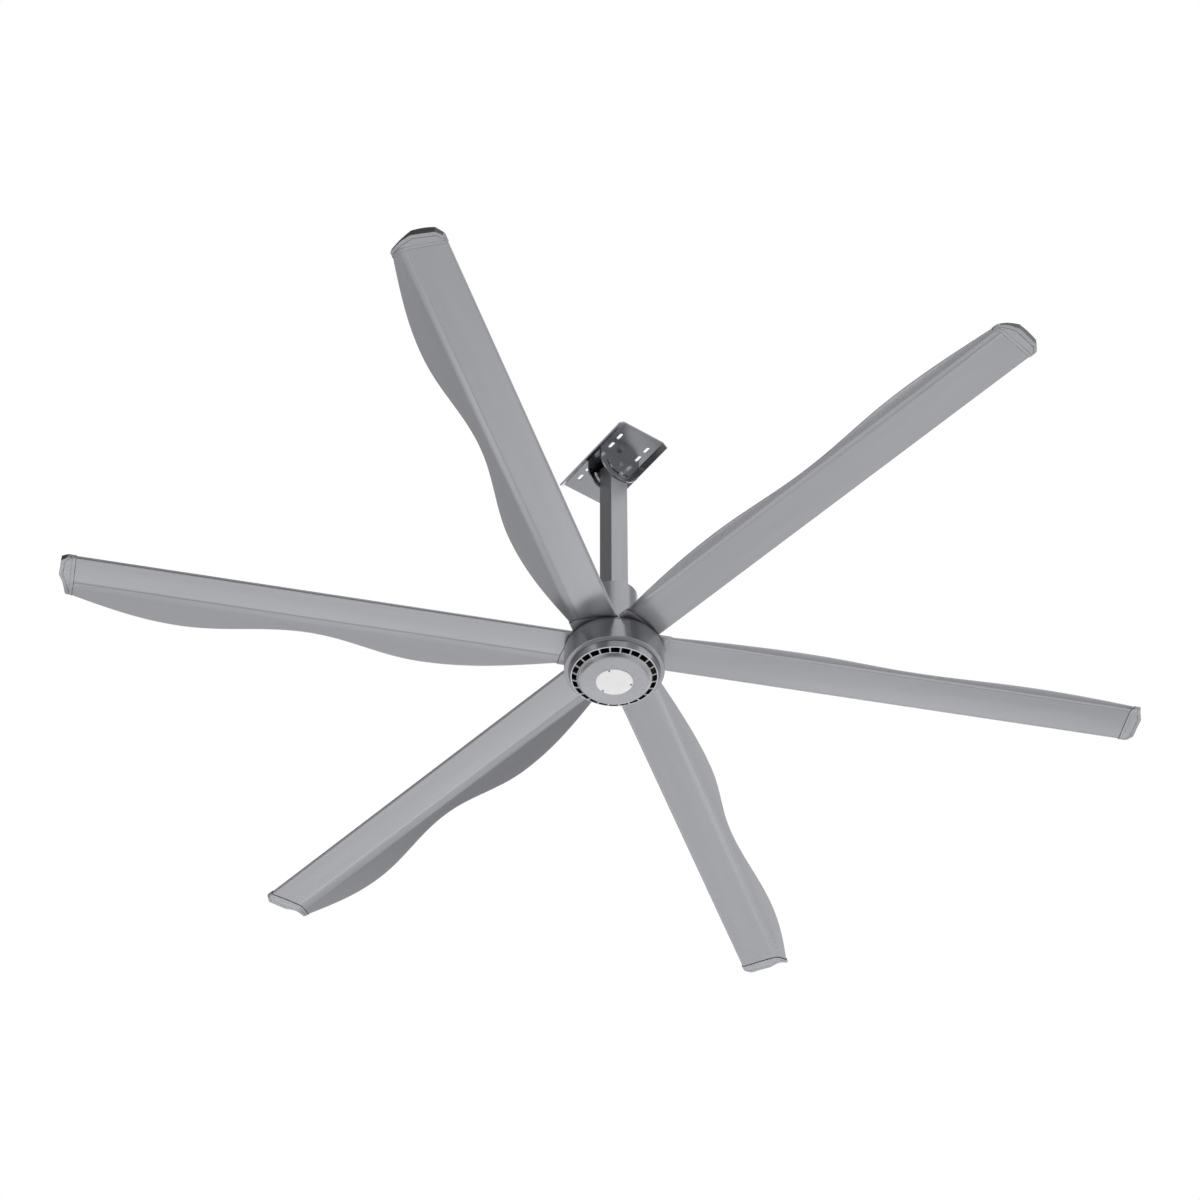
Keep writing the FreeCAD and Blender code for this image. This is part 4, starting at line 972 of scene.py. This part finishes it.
# %% Screws of the badge, the collar and the blades
BLADE_COUNT, ROTOR_DEGREES = 6, 6.89
BADGE_SPOT = (BADGE_RADIUS - 5.0, 0, BADGE_Z)
COLLAR_SPOT = (COLLAR_RADIUS, 0, HUB_Z + 56.0)
BLADE_SPOT, BLADE_STEP_M = (210.0, -12.0, HUB_Z + 28.0), (0.09, 0.0, 0.0)


def on_each_blade(coat):
    """The ring tree with one copy for each blade."""
    return ring(BLADE_COUNT, ROTOR_DEGREES, coat)


screws("badge", (3.4, 2.0), Matrix.Translation(BADGE_SPOT) @ UPSIDE_DOWN, dark_zinc, "rotor",
       ring(3, ROTOR_DEGREES + 60, dark_zinc))
screws("collar", (5.0, 2.5), Matrix.Translation(COLLAR_SPOT) @ ALONG_X, zinc, "hanger",
       ring(4, 45, zinc))
screws("blade", (6.5, 4.0), Matrix.Translation(BLADE_SPOT), zinc, "rotor",
       row(3, BLADE_STEP_M, zinc), on_each_blade(zinc))

# %% [markdown]
# # Hub bolts
# On top of the motor, two hex bolts per blade clamp the blade arms between the hub plate and the clamp
# plate. They are the same hexagon as in the bracket, made twice by the row tree and six times by the
# ring tree.

# %% Hub bolts
CLAMP_TOP = HUB_Z + 28.5
ARM_BOLT_SPOT, ARM_BOLT_STEP_M = (107.0, -23.0, 0), (0.0, 0.022, 0.0)

arm_bolt = bmesh.new()
add_hexagon(arm_bolt, BOLT_ACROSS, CLAMP_TOP, CLAMP_TOP + HEAD_HEIGHT,
            Matrix.Translation(ARM_BOLT_SPOT))
arm_bolts = piece("arm_hex_bolts", arm_bolt, zinc, row(2, ARM_BOLT_STEP_M, zinc), on_each_blade(zinc))
settle(arm_bolts, "rotor", "zinc_steel", "arm_bolts")

# %% [markdown]
# # The blade's section
# A blade is an aluminium extrusion: a round nose, a hollow body with a crowned back, and a thin flap
# that bends down behind a crease. Its outline goes round from the nose under the body to the flap's
# free edge and back over the crown. The crease is a soft fillet below, as the broad highlight there
# shows, and y is the way the blade moves.

# %% Arcs and soft corners
FILLET_CLEAR = 1.05


def three_point_arc(a, b, c, steps):
    """Points of the circle from a through b to c."""
    a, b, c = Vector(a), Vector(b), Vector(c)
    d = 2 * (a.x * (b.y - c.y) + b.x * (c.y - a.y) + c.x * (a.y - b.y))
    ux = (a.dot(a) * (b.y - c.y) + b.dot(b) * (c.y - a.y) + c.dot(c) * (a.y - b.y)) / d
    uy = (a.dot(a) * (c.x - b.x) + b.dot(b) * (a.x - c.x) + c.dot(c) * (b.x - a.x)) / d
    centre = Vector((ux, uy))
    from_a = math.degrees(math.atan2(*reversed(a - centre)))
    to_c = math.degrees(math.atan2(*reversed(c - centre)))
    swing = (to_c - from_a + 180) % 360 - 180
    return [turned(from_a + swing * t, (a - centre).length, centre) for t in sweep(0, 1, steps)]


def soft_corner(before, corner, after, cut):
    """The run before and after a corner with the corner bent softly, starting cut away from it."""
    near = [p for p in before if (p - corner).length > cut * FILLET_CLEAR]
    far = [p for p in after if (p - corner).length > cut * FILLET_CLEAR]
    start = corner + (near[-1] - corner).normalized() * cut
    end = corner + (far[0] - corner).normalized() * cut
    return near + bent(start, corner, end, 9) + far


def grown(outline, by):
    """The outline moved outwards by a distance, along the mean normal of its neighbours."""
    out = []
    for i, here in enumerate(outline):
        way = outline[(i + 1) % len(outline)] - outline[i - 1]
        normal = Vector((-way.y, way.x)).normalized()
        out.append(here + normal * by)
    return out


print("middle of an arc over 2 mm:", tuple(three_point_arc((-1, 0), (0, 1), (1, 0), 2)[1]))

# %% The blade's section
NOSE_CENTRE, NOSE_RADIUS = (51.0, 2.0), 7.0
NOSE_TOP_DEGREES, NOSE_UNDER_DEGREES = 63.0, -100.0
BELLY_POINT = (-14.76, 4.553)
CREASE = (-79.3, 11.0)
CREST = (-10.0, 27.0)
FLAP_TAN = math.tan(math.radians(32.4))
FLAP_THICK, FLAP_EDGE = 4.737, 1.6
FILLET_UNDER, FILLET_OVER = 18.0, 6.0


def blade_section(reach):
    """The closed outline of a blade whose flap ends at a distance behind the chord line."""
    nose_under = turned(NOSE_UNDER_DEGREES, NOSE_RADIUS, NOSE_CENTRE)
    nose_top = turned(NOSE_TOP_DEGREES, NOSE_RADIUS, NOSE_CENTRE)
    crease = Vector(CREASE)
    crease_top = crease + Vector((0, FLAP_THICK))
    tail = Vector((-reach, crease.y - FLAP_TAN * (reach + crease.x)))
    tail_top = tail + Vector((0, FLAP_THICK))
    belly = three_point_arc(nose_under, BELLY_POINT, CREASE, 18)
    flap_under = [crease.lerp(tail, t) for t in sweep(0, 1, 12)][1:-1]
    flap_top = [tail_top.lerp(crease_top, t) for t in sweep(0, 1, 12)][1:-1]
    crown = three_point_arc(crease_top, CREST, nose_top, 22)
    nose_turns = sweep(NOSE_TOP_DEGREES, NOSE_UNDER_DEGREES, 10)[1:-1]
    nose = [turned(a, NOSE_RADIUS, NOSE_CENTRE) for a in nose_turns]
    edge = rounded([flap_under[-1], tail, tail_top, flap_top[0]], [0, FLAP_EDGE, FLAP_EDGE, 0], 3)[1:-1]
    under = soft_corner(belly, crease, flap_under, FILLET_UNDER)
    over = soft_corner(flap_top, crease_top, crown[1:], FILLET_OVER)
    return under + edge + over + nose


HUMP_REACH = 152.6
widest = blade_section(HUMP_REACH)
over_all = NOSE_CENTRE[0] + NOSE_RADIUS + HUMP_REACH
print("blade section:", len(widest), "points,", round(over_all, 1), "mm over all")

# %% [markdown]
# # The waved flap
# Along the span the flap's free edge swells into two humps with a trough between them. The blank is a
# straight extrusion as wide as the humps, and a node tree trims it: for each point it works out how far
# the free edge has to come in at that span, and slides the flap's points up its own slope by a share
# of that, all of it at the edge and nothing at the crease. The wave itself is four pieces of sine, each
# on its own clamped Map Range.

# %% The waved flap
ROOT_REACH, TROUGH_REACH, TIP_REACH = 99.4, 118.0, 111.6
FLAP_REACHES = {"Root reach": ROOT_REACH, "Hump reach": HUMP_REACH, "Trough reach": TROUGH_REACH,
                "Tip reach": TIP_REACH}
WAVE_SPANS = {"Wave start": 178.0, "First hump": 627.0, "Trough": 1007.0, "Second hump": 1425.0,
              "Tip": 1782.0}
FLAP_FIXED, EDGE_RIGID = 90.0, 3.0

wave = Tree("waved_flap")
span = {name: wave.ask(name) for name in WAVE_SPANS}
reach = {name: wave.ask(name) for name in FLAP_REACHES}
slope = wave.ask("Flap slope")
fixed, rigid = wave.ask("Fixed chord"), wave.ask("Rigid edge")
here = wave.add("ShaderNodeSeparateXYZ", {"Vector": wave.add("GeometryNodeInputPosition")})
along, chord = here.outputs["X"], here.outputs["Y"]


def phase(start, end, last):
    """0 before a stretch of the span, growing to an angle at its end."""
    return wave.add("ShaderNodeMapRange", {
        "Value": along, "From Min": span[start], "From Max": span[end], "To Max": last})


def swing(angle, share):
    """From 0 to share while the angle goes from 0 to half a turn."""
    return wave.math("MULTIPLY", wave.math("SUBTRACT", 1.0, wave.math("COSINE", angle)), share)


swell = wave.math("SUBTRACT", reach["Hump reach"], reach["Root reach"])
rise = wave.math("MULTIPLY", swell, wave.math("SINE", phase("Wave start", "First hump", math.pi / 2)))
half_dip = wave.math("MULTIPLY", wave.math("SUBTRACT", reach["Hump reach"], reach["Trough reach"]), 0.5)
dip = wave.math("SUBTRACT", swing(phase("First hump", "Trough", math.pi), half_dip),
                swing(phase("Trough", "Second hump", math.pi), half_dip))
taper = wave.math("SUBTRACT", reach["Hump reach"], reach["Tip reach"])
close = swing(phase("Second hump", "Tip", math.pi / 2), taper)
trim = wave.math("ADD", wave.math("SUBTRACT", swell, rise), wave.math("ADD", dip, close))
share = wave.add("ShaderNodeMapRange", {
    "Value": wave.math("MULTIPLY", chord, -1.0), "From Min": fixed,
    "From Max": wave.math("SUBTRACT", reach["Hump reach"], rigid)})
slide = wave.math("MULTIPLY", trim, share)
offset = wave.add("ShaderNodeCombineXYZ", {"Y": slide, "Z": wave.math("MULTIPLY", slide, slope)})
blank_mesh = wave.start.outputs["Geometry"]
wave.end(wave.add("GeometryNodeSetPosition", {"Geometry": blank_mesh, "Offset": offset}))

wave_inputs = {name: size * MM for name, size in (WAVE_SPANS | FLAP_REACHES).items()}
wave_inputs |= {"Flap slope": FLAP_TAN, "Fixed chord": FLAP_FIXED * MM, "Rigid edge": EDGE_RIGID * MM,
                "Material": blade_lacquer}
print("wave tree:", len(wave.group.nodes), "nodes")

# %% [markdown]
# # Blades
# The blank is a loft of the widest section along the span, open inside the body as the extrusion is.
# Its UV map runs in metres, along the span and round the section, for the fine drawn lines. The wave
# tree shapes it, then the ring tree turns six of it about the axis.

# %% Blades
BLADE_ROOT, BLADE_END, BLADE_TIP = 142.0, 1794.0, 1782.0
BLADE_WALL, HOLLOW_INSET = 2.5, 6.0
STATIONS = 110


def ring_of(shape, outline, along):
    """A ring of points of a blade section at a span."""
    return [shape.verts.new((along, p.x, p.y + HUB_Z)) for p in outline]


def hollow_section():
    """The inside of the body, which ends where the flap begins."""
    body = [p for p in widest if p.x > CREASE[0] + HOLLOW_INSET]
    return grown(body, -BLADE_WALL)


def nodes_of(kind):
    """The frame's names of a kind of node that each blade has."""
    return [f"{kind}_{k}" for k in range(1, BLADE_COUNT + 1)]


blank = bmesh.new()
skin = [ring_of(blank, widest, s) for s in sweep(BLADE_ROOT, BLADE_END, STATIONS)]
bridge(blank, skin)
core = [ring_of(blank, hollow_section(), s) for s in (BLADE_END, BLADE_ROOT)]
bridge(blank, core)
for outer, inner in ((skin[0], core[-1]), (skin[-1], core[0])):
    edges = []
    for loop in (outer, inner):
        edges += [blank.edges.get((loop[i - 1], loop[i])) for i in range(len(loop))]
    bmesh.ops.triangle_fill(blank, edges=edges, use_beauty=True)

around = [0.0]
for before, after in zip(widest, widest[1:]):
    around.append(around[-1] + (after - before).length * MM)
uv = blank.loops.layers.uv.new("span")
chord_of = {}
for station in skin:
    for point, distance in zip(station, around):
        chord_of[point] = distance
for face in blank.faces:
    for loop in face.loops:
        loop[uv].uv = (loop.vert.co.x * MM, chord_of.get(loop.vert, 0.0))
blades = piece("waved_blades", blank, blade_lacquer, (wave, wave_inputs), on_each_blade(blade_lacquer))
settle(blades, "rotor", "blade_aluminium", *nodes_of("blade"))

# %% [markdown]
# # Root cuffs
# A moulded sleeve closes each blade's root. Its rings follow the blade's own section, grown by the
# sleeve's wall. Towards the hub it ends on a circle round the hub plate or, at the back, along the
# front of the cuff behind it, so each point of the ring gets its own start. Its outer end runs at a
# slight slant across the blade; the bevel there lies in shade, painted by a dark ring of its own.

# %% Root cuffs
CUFF_END, CUFF_WALL, CUFF_EDGE, CUFF_SLANT = 174.0, 2.6, 0.5, 6.8
SHADE_RING_MM, SLIP = 1.5, 0.05
HUB_CLEAR, MITRE_CLEAR = 130.0, 65.0
root_section = blade_section(ROOT_REACH)


def blade_trim(name, shape, coat, *stands_for):
    """A moulded piece that is drawn once and repeated for each blade."""
    made = piece(name, shape, coat, on_each_blade(coat))
    settle(made, "rotor", "moulded_grey", *stands_for)


def cuff_start(chord):
    """Where the sleeve starts at a chord: outside the hub and clear of the cuff behind it."""
    round_hub = math.sqrt(HUB_CLEAR ** 2 - chord ** 2)
    along_mitre = (MITRE_CLEAR - chord * math.cos(math.radians(60))) / math.sin(math.radians(60))
    return max(round_hub, along_mitre)


def cuff_end(chord):
    """Where the sleeve ends at a chord, on its slant."""
    return CUFF_END - (chord + ROOT_REACH + CUFF_WALL) * math.tan(math.radians(CUFF_SLANT))


def slanted_ring(shape, by, inside):
    """A ring of the root section, grown by a distance, some way inside the slanted end."""
    outline = grown(root_section, by)
    return [shape.verts.new((cuff_end(p.x) - inside, p.x, p.y + HUB_Z)) for p in outline]


cuff = bmesh.new()
cuff_rings = []
for by, past_start in ((SLIP, 0), (CUFF_WALL - CUFF_EDGE, 0), (CUFF_WALL, CUFF_EDGE)):
    cuff_rings.append([cuff.verts.new((cuff_start(p.x) + past_start, p.x, p.y + HUB_Z))
                       for p in grown(root_section, by)])
for by, inside in ((CUFF_WALL, SHADE_RING_MM + CUFF_EDGE), (CUFF_WALL - CUFF_EDGE, SHADE_RING_MM), (SLIP, SHADE_RING_MM)):
    cuff_rings.append(slanted_ring(cuff, by, inside))
bridge_round(cuff, cuff_rings)
blade_trim("blade_cuffs", cuff, moulded_grey, *nodes_of("root_cuff"))

# %% Painted shade ring at the cuffs' ends
cuff_shade_ring = bmesh.new()
cuff_shade_rings = [slanted_ring(cuff_shade_ring, by, inside) for by, inside in (
    (SLIP, SHADE_RING_MM), (CUFF_WALL - CUFF_EDGE, SHADE_RING_MM), (CUFF_WALL - CUFF_EDGE - SHADE_RING_MM, 0), (SLIP, 0))]
bridge_round(cuff_shade_ring, cuff_shade_rings)
blade_trim("cuff_painted_shade", cuff_shade_ring, painted_shade)

# %% [markdown]
# # Tip caps
# A moulded cap closes each tip. In plan its corners are cut off, and its underside slopes up a little
# towards the end. It is built from slices across the chord: each slice is a closed outline of the cap's
# length and height there, and neighbouring slices are joined. One fine groove runs straight across,
# another along the outline. The step where the cap starts lies in shade, painted by a dark ring of its
# own, and a thin dark sheet that follows the outline makes the upright end darker.

# %% Outline of the tip caps
CAP_WALL = 2.5
CAP_ENDS = ((60.5, 23.5), (35.0, 46.5), (-39.65, 49.0), (-71.0, 36.5), (-106.6, 23.0), (-116.0, 13.5))
CAP_RISE, CAP_DROP = 1.2, 1.0
RISE_SHARE, DROP_SHARE = 0.45, 0.2
NOSE_TURNS, SLICE_MM = (0, 12, 25, 38, 52, 68, 85), 6.0


def between(points, x):
    """The height of an open run of (x, height) points at x, straight between them."""
    run = sorted((p[0], p[1]) for p in points)
    for (x0, y0), (x1, y1) in zip(run, run[1:]):
        if x0 <= x <= x1:
            return y0 if x1 == x0 else y0 + (y1 - y0) * (x - x0) / (x1 - x0)
    return run[0][1] if x < run[0][0] else run[-1][1]


cap_section = grown(blade_section(TIP_REACH), CAP_WALL)
foremost = max(range(len(cap_section)), key=lambda i: cap_section[i].x)
rearmost = min(range(len(cap_section)), key=lambda i: cap_section[i].x)
cap_under = cap_section[foremost:] + cap_section[:rearmost + 1]
cap_over = cap_section[rearmost:foremost + 1]
front, back = cap_section[foremost].x, cap_section[rearmost].x
nose_radius = NOSE_RADIUS + CAP_WALL
nose_slices = [front - nose_radius * (1 - math.cos(math.radians(a))) for a in NOSE_TURNS]
flat_slices = sweep(nose_slices[-1], back, int((nose_slices[-1] - back) / SLICE_MM))
corner_slices = [chord for chord, _ in CAP_ENDS if back < chord < front]
chords = sorted(set(nose_slices + flat_slices + corner_slices), reverse=True)


def cap_heights(chord):
    """The underside and the top of a cap at a chord, and the bottom and the top of its end face."""
    low, high = between(cap_under, chord), between(cap_over, chord)
    if chord >= front - WELD_MM:
        low = high = (low + high) / 2
    thick = high - low
    return low, high, low + min(CAP_RISE, RISE_SHARE * thick), high - min(CAP_DROP, DROP_SHARE * thick)


print("cap:", len(chords), "slices from", round(front, 1), "to", round(back, 1), "mm")

# %% Tip caps
CAP_BAND, BAND_GROOVE = 11.5, 0.8
CAP_BEVEL, END_GROOVE = 12.0, 1.8
GROOVE_SIDE, GROOVES_APART = 0.9, 3.2
LIP_EDGE, LIP_BEVEL, LIP_SHARE = 0.6, 0.8, 0.4
END_SOFT = 3.0
FULL_LENGTH, FULL_THICK = 26.0, 6.0


def cap_slice(shape, chord):
    """The outline of the cap at a chord, from its open end under it to the end face and back."""
    low, high, bottom, top = cap_heights(chord)
    thick = high - low
    end = between(CAP_ENDS, chord)
    size, lift = min(1.0, end / FULL_LENGTH), min(1.0, thick / FULL_THICK)
    side = GROOVE_SIDE * size
    bevel = end - CAP_BEVEL * size
    band = min(CAP_BAND * size, bevel - GROOVES_APART * side)
    run = [(0, min(CAP_WALL, LIP_SHARE * thick)), (0, LIP_EDGE * lift), (LIP_BEVEL * size, 0)]
    for middle, depth in ((band, BAND_GROOVE), (bevel - side, END_GROOVE)):
        run += [(middle - side, 0), (middle, depth * lift), (middle + side, 0)]
    below = [(s, low + z) for s, z in run] + [(end, bottom)]
    above = [(s, high - z) for s, z in run] + [(end - END_SOFT * size, high), (end, top)]
    return [shape.verts.new((BLADE_TIP + s, chord, z + HUB_Z)) for s, z in below + above[::-1]]


cap = bmesh.new()
slices = [cap_slice(cap, chord) for chord in chords]
bridge(cap, slices)
cap.faces.new(slices[-1])
blade_trim("blade_caps", cap, moulded_grey, *nodes_of("tip_cap"))

# %% Painted shade ring where the caps start
CAP_SHADE_RING_MM = 1.2
cap_shade_ring = bmesh.new()
cap_shade_rings = [ring_of(cap_shade_ring, grown(blade_section(TIP_REACH), by), BLADE_TIP - inside)
                  for by, inside in ((SLIP, CAP_SHADE_RING_MM), (CAP_WALL - SLIP, 0), (SLIP, 0))]
bridge_round(cap_shade_ring, cap_shade_rings)
blade_trim("cap_painted_shade", cap_shade_ring, painted_shade)

# %% End plates of the caps
PLATE_FROM, PLATE_TO = 55.0, -104.0
PLATE_PROUD, PLATE_DEEP, PLATE_MARGIN = 0.2, 0.8, 0.3
end_plate = bmesh.new()
strips = []
for chord in [y for y in chords if PLATE_TO <= y <= PLATE_FROM]:
    *_, bottom, top = cap_heights(chord)
    bottom += PLATE_MARGIN
    top -= PLATE_MARGIN
    end = BLADE_TIP + between(CAP_ENDS, chord)
    strips.append([end_plate.verts.new((end + s, chord, z + HUB_Z)) for s, z in (
        (-PLATE_DEEP, bottom), (PLATE_PROUD, bottom), (PLATE_PROUD, top), (-PLATE_DEEP, top))])
loft(end_plate, strips)
blade_trim("cap_end_plates", end_plate, plate_dark)

# %% [markdown]
# # The solids that stay
# The hub, the arms and the motor's inside are right as the frame has them: flat plates, bars, rings
# and loops of wire, most of them hidden. They keep their meshes and only get a finish.

# %% Finishes of the solids that stay
KEPT_SOLIDS = (
    (casting_paint, ["hub_plate", "clamp_plate"]),
    (tube_coat, ["downrod_foot"]),
    (zinc, ["axle", "axle_nut", "flange_bolts", "flange_nuts", "hub_screws", "upper_bearing",
            "lower_bearing"] + nodes_of("blade_arm")),
    (core_iron, ["stator_core"]),
    (coil_wire_painted_shade, ["stator_windings"]),
    (magnet_black, ["rotor_magnets"]),
)
for coat, names in KEPT_SOLIDS:
    for name in names:
        for material_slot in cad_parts[name].material_slots:
            material_slot.material = coat
print("kept solids:", sum(len(names) for _, names in KEPT_SOLIDS))
